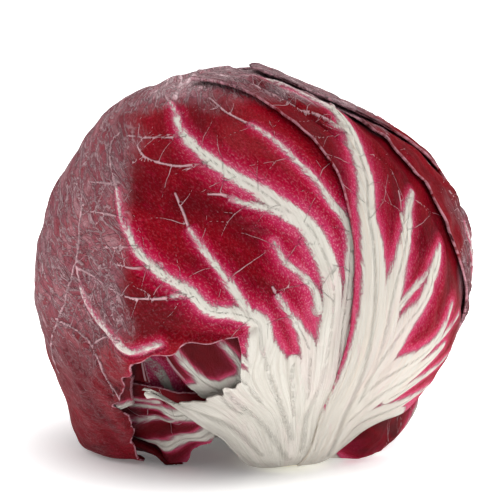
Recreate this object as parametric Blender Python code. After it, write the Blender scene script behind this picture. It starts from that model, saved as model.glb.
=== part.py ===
"""A head of radicchio, standing on its cut stem with the stem end tipped a little towards the front.

The head is a stem, a folded heart and the leaves that wrap it, each a closed shell of its own. Every leaf is
laid on one outer form, and the leaves that lie over it press it inwards, so neighbours never meet.

Places on the head are two angles in degrees. Polar is measured from the stem's cut end, 0 there and 180 at
the far end of the head. Azimuth turns round the stem's axis, 0 at the front and positive towards +X.
Lengths are in millimetres up to the last step, which writes metres. +Z is up and the floor is z = 0.
"""

from dataclasses import dataclass

import bpy
import numpy as np

# Driving dimensions, mm and degrees
FORM_HALF_AXES = np.array((61.5, 58.5, 57.5))
FORM_CENTRE_HEIGHT = 53.0
SHOULDER = 3.5  # the form is this much fuller high on the left than high on the right
FLOOR_EDGE = 3.0  # how softly the form turns into the flat it stands on
STEM_TIP = (8.0, 17.5)  # the stem end leans this far to the right and to the front
STEM_CONE = 9.5  # half angle of the stem, a cone that points at the middle of the head
LEAF_FOOT = 12.5  # polar angle at which leaves leave the stem

# Leaf sheets: thickest at the foot, thin past it, with air between them
BLADE_THICKNESS, OUTER_FOOT, INNER_FOOT = 0.9, 1.6, 0.6
FOOT_TO_BLADE = (22.0, 58.0)
OUTER_AIR, INNER_AIR = 1.2, 3.0
COVER_MARGIN, COVER_FADE = 4.0, 16.0  # how far past its edge a leaf still presses on the ones below
MAP_STEP = 3.0  # spacing of the map that holds how much a leaf covers

OUTER_GRID, INNER_GRID = (16, 11), (13, 9)  # cells from foot to tip, and from side to side
TORN_GRID = (24, 16)
SMALL_GRID = (8, 7)

RED, PALE = (0.30, 0.008, 0.035, 1.0), (0.84, 0.78, 0.66, 1.0)


@dataclass
class Leaf:
    """A leaf sheet: rows of (azimuth, polar, lift) from foot to tip, each from its left to its right edge."""

    name: str
    rows: tuple
    grid: tuple = OUTER_GRID
    air: float = OUTER_AIR  # the room between this leaf and the ones below
    foot: float = OUTER_FOOT  # how much thicker the leaf is at its foot than at its blade
    tear: tuple = ()  # (row that ends below the tear, share of the width that is torn open from the left)


def turned_axes():
    """The stem's direction, the direction of azimuth 0 and the direction of azimuth 90."""
    stem = np.array((STEM_TIP[0], -STEM_TIP[1], -FORM_CENTRE_HEIGHT))
    stem /= np.linalg.norm(stem)
    front = np.array((0.0, -1.0, 0.0))
    front -= stem * (stem @ front)
    front /= np.linalg.norm(front)
    return stem, front, np.cross(front, stem)


STEM, FRONT, SIDE = turned_axes()


def direction(azimuth, polar):
    """Unit vectors for angles in degrees."""
    azimuth, polar = np.radians(azimuth)[..., None], np.radians(polar)[..., None]
    around = FRONT * np.cos(azimuth) + SIDE * np.sin(azimuth)
    return STEM * np.cos(polar) + around * np.sin(polar)


def angles(directions):
    """(azimuth, polar) in degrees of unit vectors."""
    azimuth = np.degrees(np.arctan2(directions @ SIDE, directions @ FRONT))
    return azimuth, np.degrees(np.arccos(np.clip(directions @ STEM, -1, 1)))


def eased(value, start, end):
    """0 before start, 1 after end, smooth between."""
    share = np.clip((value - start) / (end - start), 0, 1)
    return share * share * (3 - 2 * share)


def floor_radius(directions):
    """How far the floor is from the middle of the head, along each direction."""
    down = np.minimum(directions[..., 2], -1e-6)
    return FORM_CENTRE_HEIGHT / -down


def form_radius(directions, lift=0.0):
    """The outer form: an ellipsoid cut off flat by the floor, with a soft edge round the flat."""
    ball = 1 / np.sqrt(((directions / FORM_HALF_AXES) ** 2).sum(-1)) + lift
    ball -= SHOULDER * directions[..., 0] * np.maximum(directions[..., 2], 0)
    floor = floor_radius(directions)
    near_edge = np.clip(1 - np.abs(ball - floor) / FLOOR_EDGE, 0, 1)
    return np.minimum(ball, floor) - FLOOR_EDGE / 4 * near_edge**2


def sheet_thickness(directions, foot):
    """A leaf's thickness, which falls from its foot to its blade."""
    return BLADE_THICKNESS + foot * (1 - eased(angles(directions)[1], *FOOT_TO_BLADE))


def spline_weights(points, samples):
    """A Catmull-Rom spline through that many points, as the weight of each point in each sample."""
    at = np.linspace(0, points - 1, samples)
    first = np.minimum(at.astype(int), points - 2)
    u = at - first
    basis = (
        (-u + 2 * u**2 - u**3) / 2,
        (2 - 5 * u**2 + 3 * u**3) / 2,
        (u + 4 * u**2 - 3 * u**3) / 2,
        (-(u**2) + u**3) / 2,
    )
    weights = np.zeros((samples, points))
    for offset, weight in enumerate(basis):
        index = first + offset - 1
        for row, (place, value) in enumerate(zip(index, weight)):
            if place < 0:  # a straight end: the missing point mirrors its neighbour
                weights[row, 0] += 2 * value
                weights[row, 1] -= value
            elif place >= points:
                weights[row, -1] += 2 * value
                weights[row, -2] -= value
            else:
                weights[row, place] += value
    return weights


def sheet(leaf, rows, columns):
    """The directions and lifts of a leaf's sheet on a grid of that many points."""
    net = np.array(leaf.rows, float)
    along, across = spline_weights(net.shape[0], rows), spline_weights(net.shape[1], columns)
    directions = np.einsum("ri,ijk,cj->rck", along, direction(net[..., 0], net[..., 1]), across)
    directions /= np.linalg.norm(directions, axis=-1, keepdims=True)
    return directions, np.einsum("ri,ij,cj->rc", along, net[..., 2], across)


def open_cells(leaf, rows, columns):
    """The cells of the leaf's grid that a tear leaves out."""
    torn = np.zeros((rows - 1, columns - 1), bool)
    if leaf.tear:
        row, share = leaf.tear
        spans = len(leaf.rows) - 1
        middle = (np.arange(rows - 1) + 0.5) / (rows - 1) * spans
        inside = (middle > row) & (middle < row + 1)
        torn[np.ix_(inside, (np.arange(columns - 1) + 0.5) / (columns - 1) < share)] = True
    return torn


class CoverMap:
    """How much a leaf covers each direction: 1 on it and just past its edge, fading to 0 further out."""

    azimuths, polars = np.arange(-180, 181, MAP_STEP), np.arange(0, 181, MAP_STEP)
    directions = direction(*np.meshgrid(azimuths, polars))
    samples = 48

    def __init__(self, leaf):
        self.leaf = leaf
        on_leaf, _ = sheet(leaf, self.samples, self.samples)
        nearest = np.max(self.directions @ on_leaf.reshape(-1, 3).T, axis=-1)
        away = np.degrees(np.arccos(np.clip(nearest, -1, 1)))
        self.values = 1 - eased(away, COVER_MARGIN, COVER_MARGIN + COVER_FADE)

    def at(self, directions):
        """The cover at each direction, read between the map's points."""
        azimuth, polar = angles(directions)
        column, row = (azimuth + 180) / MAP_STEP, polar / MAP_STEP
        c = np.clip(column.astype(int), 0, len(self.azimuths) - 2)
        r = np.clip(row.astype(int), 0, len(self.polars) - 2)
        right, down = column - c, row - r
        upper = self.values[r, c] * (1 - right) + self.values[r, c + 1] * right
        lower = self.values[r + 1, c] * (1 - right) + self.values[r + 1, c + 1] * right
        return upper * (1 - down) + lower * down


def pressed_radius(directions, lift, above):
    """The outer radius of a leaf under the leaves above, which press it in and hold its lift down."""
    covers = [cover.at(directions) for cover in above]
    bare = 1 - np.max(covers, axis=0) if covers else 1.0
    pitches = [sheet_thickness(directions, cover.leaf.foot) + cover.leaf.air for cover in above]
    return form_radius(directions, lift * bare) - sum(c * p for c, p in zip(covers, pitches))


def wrapped(azimuth, half_width, reach, tip_lean=0.0):
    """Rows for a plain leaf that follows a great circle from its foot over the head, reach degrees long."""
    rows = []
    for share in np.linspace(0, 1, 5):
        row = []
        for side in np.linspace(-1, 1, 5):
            along = np.radians(LEAF_FOOT + share * (reach * (1 - 0.12 * side**2) - LEAF_FOOT))
            width = half_width * (0.22 + 0.78 * np.sin(np.pi * (0.08 + 0.62 * share) ** 0.9))
            across = np.radians(side * width)
            up, out = np.cos(across) * np.cos(along), np.cos(across) * np.sin(along)
            polar = np.degrees(np.arccos(np.clip(up, -1, 1)))
            turn = np.degrees(np.arctan2(np.sin(across), out))
            row.append((azimuth + turn + tip_lean * share**2, max(polar, LEAF_FOOT), 0.0))
        rows.append(tuple(row))
    return tuple(rows)


# The leaves, outermost first. Each one lies over all that follow it.
OUTER_LEAVES = (
    Leaf(
        "outer_leaf_back_right",
        (
            ((156, 13, 0), (176, 13, 0), (198, 13, 0), (222, 13, 0)),
            ((152, 34, 0), (170, 34, 0), (190, 34, 0), (212, 34, 0)),
            ((138, 60, 0), (156, 62, 0), (180, 62, 0), (206, 60, 0)),
            ((102, 86, 0), (136, 90, 0), (170, 90, 0), (206, 86, 0)),
            ((76, 112, 0), (122, 117, 0), (170, 118, 0), (214, 112, 0)),
            ((50, 135, 0), (104, 146, 0), (180, 148, 0), (226, 136, 0)),
            ((16, 152, 0), (50, 172, 0), (240, 170, 0), (240, 152, 0)),
        ),
    ),
    Leaf(
        "outer_leaf_right",
        (
            ((142, 13, 0), (148, 13, 0), (154, 13, 0), (160, 13, 0)),
            ((134, 34, 0), (142, 34, 0), (150, 34, 0), (159, 34, 0)),
            ((96, 61, 0), (118, 56, 0), (138, 56, 0), (158, 58, 0)),
            ((67, 82, 0), (95, 84, 0), (126, 86, 0), (158, 86, 0)),
            ((55, 108, 0), (90, 112, 0), (126, 114, 0), (162, 112, 0)),
            ((49, 130, 0), (88, 138, 0), (135, 140, 0), (172, 134, 0)),
            ((34, 150, 0), (74, 166, 0), (180, 166, 0), (195, 150, 0)),
        ),
    ),
    Leaf(
        "outer_leaf_front_right",
        (
            ((16, 13, 0), (27, 13, 0), (40, 13, 0), (54, 13, 0), (68, 13, 0)),
            ((21, 33, 0), (35, 33, 0), (49, 32, 0), (64, 31, 0), (78, 30, 1)),
            ((24, 60, 0), (37, 60, 0), (53, 59, 0), (74, 56, 0), (100, 47, 3)),
            ((28, 86, 0), (40, 88, 0), (55, 88, 0), (73, 86, 0), (96, 80, 0)),
            ((22, 109, 0), (39, 115, 1), (58, 115, 0), (78, 112, 0), (98, 110, 0)),
            ((7, 130, 0), (36, 138, 1), (66, 139, 0), (90, 134, 0), (110, 130, 0)),
            ((-24, 149, 0), (18, 160, 0), (90, 162, 0), (120, 152, 0), (128, 142, 0)),
        ),
    ),
    Leaf(
        "outer_leaf_front_left",
        (
            ((-44, 13, 0), (-34, 13, 0), (-20, 13, 0), (-3, 13, 0), (15, 13, 0), (34, 13, 0)),
            ((-42, 32, 0), (-32, 30, 0), (-18, 30, 0), (0, 32, 0), (17, 34, 0), (36, 36, 0)),
            ((-47, 55, 2), (-36, 48, 1), (-21, 45, 0), (-3, 57, 1), (18, 60, 0), (40, 60, 0)),
            ((-87, 38, 8), (-62, 50, 3), (-42, 64, 1), (-1, 67, 2), (19, 72, 0), (42, 74, 0)),
            ((-98, 51, 13), (-80, 62, 3), (-50, 80, 0), (-15, 90, 0), (12, 95, 0), (44, 98, 0)),
            ((-110, 70, 5), (-95, 84, 0), (-68, 102, 0), (-36, 118, 0), (0, 122, 0), (46, 124, 0)),
            ((-128, 92, 0), (-114, 114, 0), (-98, 134, 0), (-70, 152, 0), (0, 164, 0), (62, 156, 0)),
        ),
        TORN_GRID,
        tear=(2, 0.58),
    ),
    Leaf(
        "outer_leaf_low_right",
        (
            ((74, 14, 0), (92, 14, 0), (112, 14, 0), (140, 14, 0)),
            ((74, 23, 4), (92, 20, 12), (114, 22, 6), (142, 28, 2)),
            ((80, 34, 2), (96, 32, 12), (116, 36, 6), (142, 46, 1)),
            ((90, 52, 1), (103, 48, 5), (118, 56, 3), (140, 66, 0)),
        ),
        SMALL_GRID,
    ),
    Leaf(
        "torn_leaf_lobe",
        (
            ((-32, 42, 1), (-18, 42, 2), (-4, 48, 1)),
            ((-38, 54, 1), (-22, 55, 3), (-3, 58, 1)),
            ((-43, 68, 0), (-24, 71, 0), (-2, 70, 0)),
        ),
        SMALL_GRID,
    ),
    Leaf(
        "torn_leaf_left",
        (
            ((-78, 14, 0), (-58, 14, 0), (-38, 14, 0)),
            ((-92, 26, 3), (-66, 26, 2), (-38, 28, 0)),
            ((-92, 39, 6), (-68, 40, 3), (-43, 42, 0)),
            ((-86, 54, 2), (-66, 56, 0), (-50, 60, 0)),
        ),
        SMALL_GRID,
    ),
    Leaf("outer_leaf_under_right", wrapped(106, 46, 150)),
    Leaf("outer_leaf_back_left", wrapped(-128, 60, 168, 10)),
    Leaf("outer_leaf_back", wrapped(-176, 56, 164, -14)),
)

# Inner leaves follow the golden angle round the stem, as they grew.
GOLDEN_ANGLE = 137.5
INNER_COUNT, INNER_HALF_WIDTH, INNER_REACH = 10, 54.0, 176.0
INNER_LEAVES = tuple(
    Leaf(
        f"inner_leaf_{n + 1:02d}",
        wrapped(n * GOLDEN_ANGLE % 360 - 180, INNER_HALF_WIDTH, INNER_REACH),
        INNER_GRID,
        INNER_AIR,
        INNER_FOOT,
    )
    for n in range(INNER_COUNT)
)


def add_object(name, vertices, faces, colour):
    """Adds one closed mesh in its own colour. Vertices are in millimetres, from the middle of the head."""
    mesh = bpy.data.meshes.new(name)
    mesh.from_pydata([tuple(v) for v in vertices], [], [tuple(map(int, f)) for f in faces])
    mesh.update()
    mesh.shade_smooth()
    material = bpy.data.materials.new(name)
    material.use_nodes = True
    shader = material.node_tree.nodes["Principled BSDF"]
    shader.inputs["Base Color"].default_value = colour
    shader.inputs["Roughness"].default_value = 0.4
    mesh.materials.append(material)
    made = bpy.data.objects.new(name, mesh)
    bpy.context.scene.collection.objects.link(made)
    return made


def leaf_object(leaf, above):
    """A leaf's closed shell: its outer and inner sheets, and a wall round their edges and any tear."""
    rows, columns = (cells + 1 for cells in leaf.grid)
    directions, lift = sheet(leaf, rows, columns)
    outer_radius = pressed_radius(directions, lift, above)
    inner_radius = outer_radius - sheet_thickness(directions, leaf.foot)
    outer = (directions * outer_radius[..., None]).reshape(-1, 3)
    inner = (directions * inner_radius[..., None]).reshape(-1, 3)

    index = np.arange(rows * columns).reshape(rows, columns)
    corners = np.stack((index[:-1, :-1], index[:-1, 1:], index[1:, 1:], index[1:, :-1]), axis=-1)
    cells = corners[~open_cells(leaf, rows, columns)]
    count = rows * columns
    faces = [tuple(cell) for cell in cells] + [tuple(cell[::-1] + count) for cell in cells]
    edges = {(cell[k], cell[(k + 1) % 4]) for cell in cells for k in range(4)}
    for start, end in sorted(edges):
        if (end, start) not in edges:
            faces.append((end, start, start + count, end + count))

    vertices = np.concatenate((outer, inner))
    used = np.unique(np.concatenate([np.array(face) for face in faces]))
    place = {old: new for new, old in enumerate(used)}
    faces = [tuple(place[v] for v in face) for face in faces]
    return add_object(leaf.name, vertices[used], faces, RED)


def ring_faces(rings, around):
    """Quads that join rings of that many vertices, one after another."""
    faces = []
    for ring in range(rings - 1):
        for k in range(around):
            a, b = ring * around + k, ring * around + (k + 1) % around
            faces.append((a, b, b + around, a + around))
    return faces


def heart_object(above):
    """The folded heart: a ball that fills the room the leaves leave."""
    around, rings = 24, 13
    azimuth, polar = np.meshgrid(
        np.arange(around) * 360 / around, np.linspace(0, 180, rings + 2)[1:-1]
    )
    directions = direction(azimuth, polar)
    vertices = (directions * heart_radius(directions, above)[..., None]).reshape(-1, 3)
    ends = [end * heart_radius(end, above) for end in (STEM, -STEM)]
    stem_end, far_end = len(vertices), len(vertices) + 1
    faces = ring_faces(rings, around)
    last = (rings - 1) * around
    faces += [(stem_end, (k + 1) % around, k) for k in range(around)]
    faces += [(far_end, last + k, last + (k + 1) % around) for k in range(around)]
    return add_object("heart", np.concatenate((vertices, ends)), faces, RED)


def heart_radius(directions, above):
    """The heart's radius, one leaf pitch inside the innermost leaves."""
    return pressed_radius(directions, 0.0, above) - INNER_AIR


def stem_object(above):
    """The stem: a cone from just under the heart to the flat cut that stands on the floor."""
    around = 32
    azimuth = np.arange(around) * 360 / around
    sides = direction(azimuth, np.full(around, STEM_CONE))
    top = heart_radius(np.concatenate((sides, [STEM])), above).max() + OUTER_AIR
    cut = floor_radius(sides)
    shares = (0.0, 0.35, 0.7, 0.9, 1.0)
    rings = [sides * (top + (cut - top) * share)[:, None] for share in shares]
    vertices = np.concatenate(rings)
    faces = [face[::-1] for face in ring_faces(len(shares), around)]
    last = (len(shares) - 1) * around
    faces.append(tuple(range(around)))
    faces.append(tuple(last + k for k in reversed(range(around))))
    return add_object("stem", vertices, faces, PALE)


def set_down(objects):
    """Moves everything from the middle of the head to the floor, with the origin under the middle of its box."""
    corners = np.array([v.co for o in objects for v in o.data.vertices])
    middle = (corners.min(0) + corners.max(0)) / 2
    shift = np.array((-middle[0], -middle[1], FORM_CENTRE_HEIGHT))
    for o in objects:
        for vertex in o.data.vertices:
            vertex.co = (np.array(vertex.co) + shift) / 1000
    return shift


def main():
    for old in list(bpy.data.objects):
        bpy.data.objects.remove(old)
    made, above = [], []
    for leaf in OUTER_LEAVES + INNER_LEAVES:
        made.append(leaf_object(leaf, above))
        above.append(CoverMap(leaf))
    made += [heart_object(above), stem_object(above)]
    set_down(made)


main()
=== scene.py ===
"""A head of radicchio on a plain pale floor, built leaf by leaf.

Every leaf is a closed sheet laid on one outer form and pressed in by the leaves over it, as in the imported
model, with its ribs, veins, puckers and ragged margins raised in the mesh. A place on the head is a ray, a
unit vector from its middle, or two angles in degrees: the azimuth round the stem, 0 at the front and positive
towards +X, and the polar angle from the stem's cut end. Lengths are in millimetres up to the last step, which
writes metres.
"""

import logging
from dataclasses import dataclass, field
from enum import Enum
from typing import Any, Callable, Sequence

import bpy
import numpy as np
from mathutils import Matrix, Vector


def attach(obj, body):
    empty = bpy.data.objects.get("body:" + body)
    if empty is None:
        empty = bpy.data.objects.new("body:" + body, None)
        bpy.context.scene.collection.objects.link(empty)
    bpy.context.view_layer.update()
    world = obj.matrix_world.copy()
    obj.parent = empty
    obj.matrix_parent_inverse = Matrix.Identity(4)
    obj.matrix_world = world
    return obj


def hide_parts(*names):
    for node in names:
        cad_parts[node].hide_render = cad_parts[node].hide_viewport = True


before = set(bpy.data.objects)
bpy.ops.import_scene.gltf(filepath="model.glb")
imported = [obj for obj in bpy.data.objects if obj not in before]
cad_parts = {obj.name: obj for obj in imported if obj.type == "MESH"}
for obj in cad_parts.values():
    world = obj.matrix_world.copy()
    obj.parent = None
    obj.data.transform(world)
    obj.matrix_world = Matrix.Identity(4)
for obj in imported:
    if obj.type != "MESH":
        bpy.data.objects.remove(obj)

Array = np.ndarray
Colour = tuple[float, float, float, float]
Material = bpy.types.Material
Limits = tuple[float, float]  # where something starts, and where it is whole
Path = tuple[tuple[float, float, float], ...]
Place = tuple[float, float, float]
Radius = Callable[[Array], Array]
Rows = tuple[tuple[tuple[float, ...], ...], ...]
Thing = bpy.types.Object

LOG = logging.getLogger("radicchio")
MM = 0.001
FINE = 4  # fine cells along each side of a coarse one
VEIN_CELL = 2.2  # how many vein widths a cell of the mesh may span
BLOCK = 6000  # places looked up at a time
FIBRE_SLANT = np.radians(17)  # how far the streaks beside a rib turn away from it
FINE_RIB = 0.45  # half width under which a rib is drawn as a vein
FAR = 9.0  # stands for far away in what the finish reads
SHOWN = ("blush", "outside", "strand", "core", "vein", "vein_offset", "bloom_and_sheen")  # what the finish reads


class Slot(Enum):
    """Kinds of piece: outer leaves, inner leaves, the heart and the stem."""

    OUTER = "outer_leaves"
    INNER = "inner_leaves"
    HEART = "heart_leaves"
    STEM = "stem_flesh"


class Margin(Enum):
    """A leaf's margins, and where in the random swellings each one's raggedness is read."""

    LEFT = 0.0
    RIGHT = 3.0
    TIP = 6.0
    TEAR_TOP = 9.0
    TEAR_BOTTOM = 12.0


def eased(value: Array, start: float, end: float) -> Array:
    """0 before start, 1 after end, smooth between."""
    share = np.clip((value - start) / (end - start), 0, 1)
    return share * share * (3 - 2 * share)


def span(vectors: Array) -> Array:
    """The vectors' lengths."""
    return np.linalg.norm(vectors, axis=-1)


def unit(vectors: Array) -> Array:
    """The vectors at length 1."""
    return vectors / span(vectors)[..., None]


def angle_of(cosine: Array) -> Array:
    """The angle of a cosine, in degrees."""
    return np.degrees(np.arccos(np.clip(cosine, -1, 1)))


def run_along(points: Array, axis: int) -> Array:
    """How far along one axis of a grid each of its points is."""
    return np.insert(span(np.diff(points, axis=axis)).cumsum(axis), 0, 0.0, axis=axis)


def spline_weights(points: int, at: Array) -> Array:
    """A Catmull-Rom spline through evenly spaced points, with straight ends.

    Args:
        points: how many points it goes through.
        at: places on it, from 0 to points - 1.

    Returns:
        The weight of each point at each place.
    """
    flat = np.clip(np.asarray(at, float).ravel(), 0, points - 1)
    first = np.minimum(flat.astype(int), points - 2)
    u = flat - first
    basis = (2 * u**2 - u - u**3, 2 - 5 * u**2 + 3 * u**3, u + 4 * u**2 - 3 * u**3, u**3 - u**2)
    padded = np.zeros((flat.size, points + 2))
    for offset, weight in enumerate(basis):
        padded[np.arange(flat.size), first + offset] += weight / 2
    weights = padded[:, 1:-1].copy()
    for end, after in ((0, 1), (-1, -2)):
        weights[:, end] += 2 * padded[:, end]
        weights[:, after] -= padded[:, end]
    return weights.reshape(*np.shape(at), points)


class Swell:
    """A smooth random swelling of about -1 to 1, the sum of waves that run every way."""

    def __init__(self, seed: int, size: float, waves: int = 26) -> None:
        """Draws the waves.

        Args:
            seed: fixes the pattern.
            size: the length of a wave, in the units of the places it is asked about.
            waves: how many waves are summed.
        """
        rng = np.random.default_rng(seed)
        ways = unit(rng.normal(size=(waves, 3)))
        self.turns = ways * 2 * np.pi / (size * rng.uniform(0.7, 1.5, (waves, 1)))
        self.starts = rng.uniform(0, 2 * np.pi, waves)
        self.share = np.sqrt(1.6 / waves)

    def at(self, places: Array) -> Array:
        """The swelling at each place."""
        return np.sin(places @ self.turns.T + self.starts).sum(-1) * self.share


@dataclass(frozen=True)
class Form:
    """The outer form that all leaves are laid on, round the middle of the head."""

    half_axes: Place = (61.3, 58.0, 56.0)
    height: float = 53.0  # of the middle above the floor
    middle: tuple[float, float] = (0.41, 0.91)
    shoulder: float = 14.0  # how much less full it is high on the right
    slopes: tuple[float, float] = (0.98, 2.8)  # how far the left and right shoulders are drawn in
    bulge: float = 2.0  # how far the left shoulder stands out
    bulge_at: tuple[float, float] = (-0.67, 0.73)
    bulge_spread: float = 0.03
    floor_edge: float = 3.0  # how soft the edge of the flat is
    stem_tip: tuple[float, float] = (8.0, 17.5)
    radius: float = 58.0  # turns angles into lengths

    def axes(self) -> tuple[Array, Array, Array]:
        """The stem's direction, then those of azimuth 0 and of azimuth 90."""
        stem = unit(np.array((self.stem_tip[0], -self.stem_tip[1], -self.height)))
        front = unit(np.array((0.0, -1.0, 0.0)) + stem * stem[1])
        return stem, front, np.cross(front, stem)

    def ray(self, azimuth: Any, polar: Any) -> Array:
        """Rays for angles.

        Args:
            azimuth: the angle or angles round the stem.
            polar: as many angles from the stem's cut end.

        Returns:
            The rays, with one axis more than the angles have.
        """
        stem, front, side = self.axes()
        azimuth, polar = (np.radians(np.asarray(angle, float))[..., None] for angle in (azimuth, polar))
        return stem * np.cos(polar) + (front * np.cos(azimuth) + side * np.sin(azimuth)) * np.sin(polar)

    def angles(self, rays: Array) -> tuple[Array, Array]:
        """Azimuth and polar angle of rays."""
        stem, front, side = self.axes()
        return np.degrees(np.arctan2(rays @ side, rays @ front)), angle_of(rays @ stem)

    def settle(self, rays: Array, radius: Array) -> Array:
        """Holds a surface above the floor, with a soft edge round the flat.

        Args:
            rays: its places.
            radius: how far out it is there.

        Returns:
            The new distances.
        """
        floor = self.height / np.maximum(-rays[..., 2], 1e-6)
        near = np.clip(1 - np.abs(radius - floor) / self.floor_edge, 0, 1)
        return np.minimum(radius, floor) - self.floor_edge / 4 * near**2

    def surface(self, rays: Array, lift: Any = 0.0) -> Array:
        """How far out the form is.

        Args:
            rays: the places.
            lift: how much is added there.

        Returns:
            The distances from the middle, held above the floor.
        """
        ball = 1 / np.sqrt(((rays / np.array(self.half_axes)) ** 2).sum(-1)) + lift
        side, high = rays[..., 0], np.maximum(rays[..., 2], 0)
        ball = ball - high**4 * self.shoulder * np.maximum(side, 0)
        ball = ball - high * np.abs(side) ** 1.5 * np.where(side > 0, self.slopes[1], self.slopes[0])
        away = (side - self.bulge_at[0]) ** 2 + (high - self.bulge_at[1]) ** 2
        return self.settle(rays, ball + self.bulge * np.exp(-away / self.bulge_spread))

    def place(self, points: Array) -> Array:
        """Points from the middle of the head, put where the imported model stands, in metres."""
        return (points + np.array((*self.middle, self.height))) * MM


FORM = Form()


@dataclass(frozen=True)
class Rib:
    """A pale rib on a leaf.

    Its path is (azimuth, polar, half width) from foot to tip, or (across, along, half width) with shares of
    the leaf where on_leaf is set. Its feather is how far it blends into the blade at foot and tip.
    """

    path: Path
    height: float = 1.0
    feather: tuple[float, float] = (4.0, 1.0)
    on_leaf: bool = False


@dataclass(frozen=True)
class Fold:
    """A ridge in a leaf, with a path as a rib's, or a crease where its height is less than 0."""

    path: Path
    height: float


@dataclass(frozen=True)
class Tuck:
    """Where a leaf is drawn in under the head: the middle's azimuth and polar angle, reach and depth."""

    azimuth: float
    polar: float
    reach: Limits
    depth: float

    def at(self, rays: Array) -> Array:
        """How far it draws each place in."""
        away = angle_of(rays @ FORM.ray(self.azimuth, self.polar))
        return self.depth * (1 - eased(away, *self.reach))


def drawn_under(rays: Array, tucks: Sequence[Tuck]) -> Array:
    """How far the tucks draw each place in."""
    return sum((tuck.at(rays) for tuck in tucks), np.zeros(rays.shape[:-1]))


@dataclass(frozen=True)
class RibLine:
    """A rib as closely spaced rays, each with its half width, height and feather."""

    points: Array
    half_width: Array
    height: Array
    feather: Array


@dataclass(frozen=True)
class VeinGrowth:
    """How side veins leave the ribs and wander over the blade, in degrees."""

    seed: int = 1
    spacing: float = 6.0
    length: tuple[float, float] = (9.0, 22.0)
    leave: tuple[float, float] = (45.0, 75.0)
    wander: float = 7.0
    fork: float = 0.5
    start: float = 40.0  # polar angle past which they show
    width: tuple[float, float] = (0.08, 0.16)  # half width at the rib, in millimetres
    bend: float = 1.2
    fork_turn: tuple[float, float] = (30.0, 65.0)


@dataclass(frozen=True)
class BloomAndSheen:
    """The leaves' grey waxen coat and painted sheen: thin over the front, whole at the top, the sides and
    behind.

    Limits are on a ray's share to the side, upwards or backwards.
    """

    # the greyer sides, top and back are partly the real waxen coat and partly painted sheen for light grazing
    # them
    left: Limits = (0.5, 0.64)
    left_height: Limits = (-0.45, -0.1)
    right: Limits = (0.88, 1.0)
    top: Limits = (0.84, 0.98)
    behind: Limits = (0.0, 0.35)
    full: Place = (0.85, 0.8, 1.6)  # how strong it is on the left, on the right and at the top, 1 behind

    def at(self, rays: Array) -> Array:
        """How much grey waxen coat and painted sheen there is at each place."""
        side, depth, height = (rays + 0.035 * Swell(7, 0.25).at(rays)[:, None]).T
        left = self.full[0] * eased(-side, *self.left) * (0.2 + 0.8 * eased(height, *self.left_height))
        right = eased(side, *self.right) * self.full[1]
        top = self.full[2] * eased(height + 0.2 * np.abs(side), *self.top)
        return np.max((left, right, top, eased(depth, *self.behind)), axis=0)


def nearest_piece(rays: Array, starts: Array, ends: Array) -> tuple[Array, Array, Array]:
    """The nearest of many short pieces of line.

    Args:
        rays: the places.
        starts: the start of each piece, as a ray.
        ends: the end of each piece.

    Returns:
        How far it is, which piece it is, and how far along it, from 0 to 1.
    """
    middles = unit(starts + ends).astype(np.float32)
    places = rays.astype(np.float32)
    best = np.empty(len(rays), int)
    for first in range(0, len(rays), BLOCK):
        best[first : first + BLOCK] = np.argmax(places[first : first + BLOCK] @ middles.T, axis=1)
    start, run = starts[best], ends[best] - starts[best]
    share = ((rays - start) * run).sum(-1) / np.maximum((run**2).sum(-1), 1e-12)
    share = np.clip(share, 0, 1)
    return span(rays - start - run * share[:, None]) * FORM.radius, best, share


@dataclass
class CoverMap:
    """How much a leaf covers each place: 1 on it and just past its edge, fading to 0 further out."""

    sheet: Array  # rays on the leaf
    pitch: Radius  # room that the leaf and the air under it take
    step: float = 1.5
    margin: float = 1.2
    fade: float = 6.0
    values: Array = field(init=False)

    def __post_init__(self) -> None:
        """Works the map out once."""
        azimuths = np.arange(-180, 180 + self.step, self.step)
        polars = np.arange(0, 180 + self.step, self.step)
        rays = FORM.ray(*np.meshgrid(azimuths, polars)).astype(np.float32)
        on_leaf = self.sheet.reshape(-1, 3).T.astype(np.float32)
        nearest = np.stack([np.max(row @ on_leaf, axis=-1) for row in rays])
        self.values = 1 - eased(angle_of(nearest), self.margin, self.margin + self.fade)

    def at(self, rays: Array) -> Array:
        """Reads the map between its points.

        Args:
            rays: the places.

        Returns:
            The cover at each.
        """
        azimuth, polar = FORM.angles(rays)
        column, row = (azimuth + 180) / self.step, polar / self.step
        c = np.clip(column.astype(int), 0, self.values.shape[1] - 2)
        r = np.clip(row.astype(int), 0, self.values.shape[0] - 2)
        right, down = column - c, row - r
        upper, lower = (self.values[k, c] * (1 - right) + self.values[k, c + 1] * right for k in (r, r + 1))
        return upper * (1 - down) + lower * down


def added(name: str, data: bpy.types.ID) -> Thing:
    """Adds an object with that mesh, light or camera to the scene."""
    made = bpy.data.objects.new(name, data)
    bpy.context.scene.collection.objects.link(made)
    return made


def add_mesh(name: str, points: Array, faces: Sequence[Array], values: dict[str, Array]) -> Thing:
    """Adds a smooth mesh.

    Args:
        name: its name.
        points: its vertices, from the middle of the head.
        faces: one array of quads and one of triangles.
        values: named values at each vertex, single or in threes.

    Returns:
        The new object.
    """
    loops = np.concatenate([part.ravel() for part in faces]).astype(np.int32)
    sizes = np.concatenate([np.full(len(part), part.shape[1]) for part in faces])
    mesh = bpy.data.meshes.new(name)
    mesh.vertices.add(len(points))
    mesh.vertices.foreach_set("co", FORM.place(points).astype(np.float32).ravel())
    mesh.loops.add(len(loops))
    mesh.loops.foreach_set("vertex_index", loops)
    mesh.polygons.add(len(sizes))
    mesh.polygons.foreach_set("loop_start", np.concatenate(([0], np.cumsum(sizes)[:-1])).astype(np.int32))
    mesh.update(calc_edges=True)
    mesh.validate()
    mesh.shade_smooth()
    for key, value in values.items():
        kind, slot = ("FLOAT_VECTOR", "vector") if value.ndim == 2 else ("FLOAT", "value")
        layer = mesh.attributes.new(key, kind, "POINT")
        layer.data.foreach_set(slot, value.astype(np.float32).ravel())
    return added(name, mesh)


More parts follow.
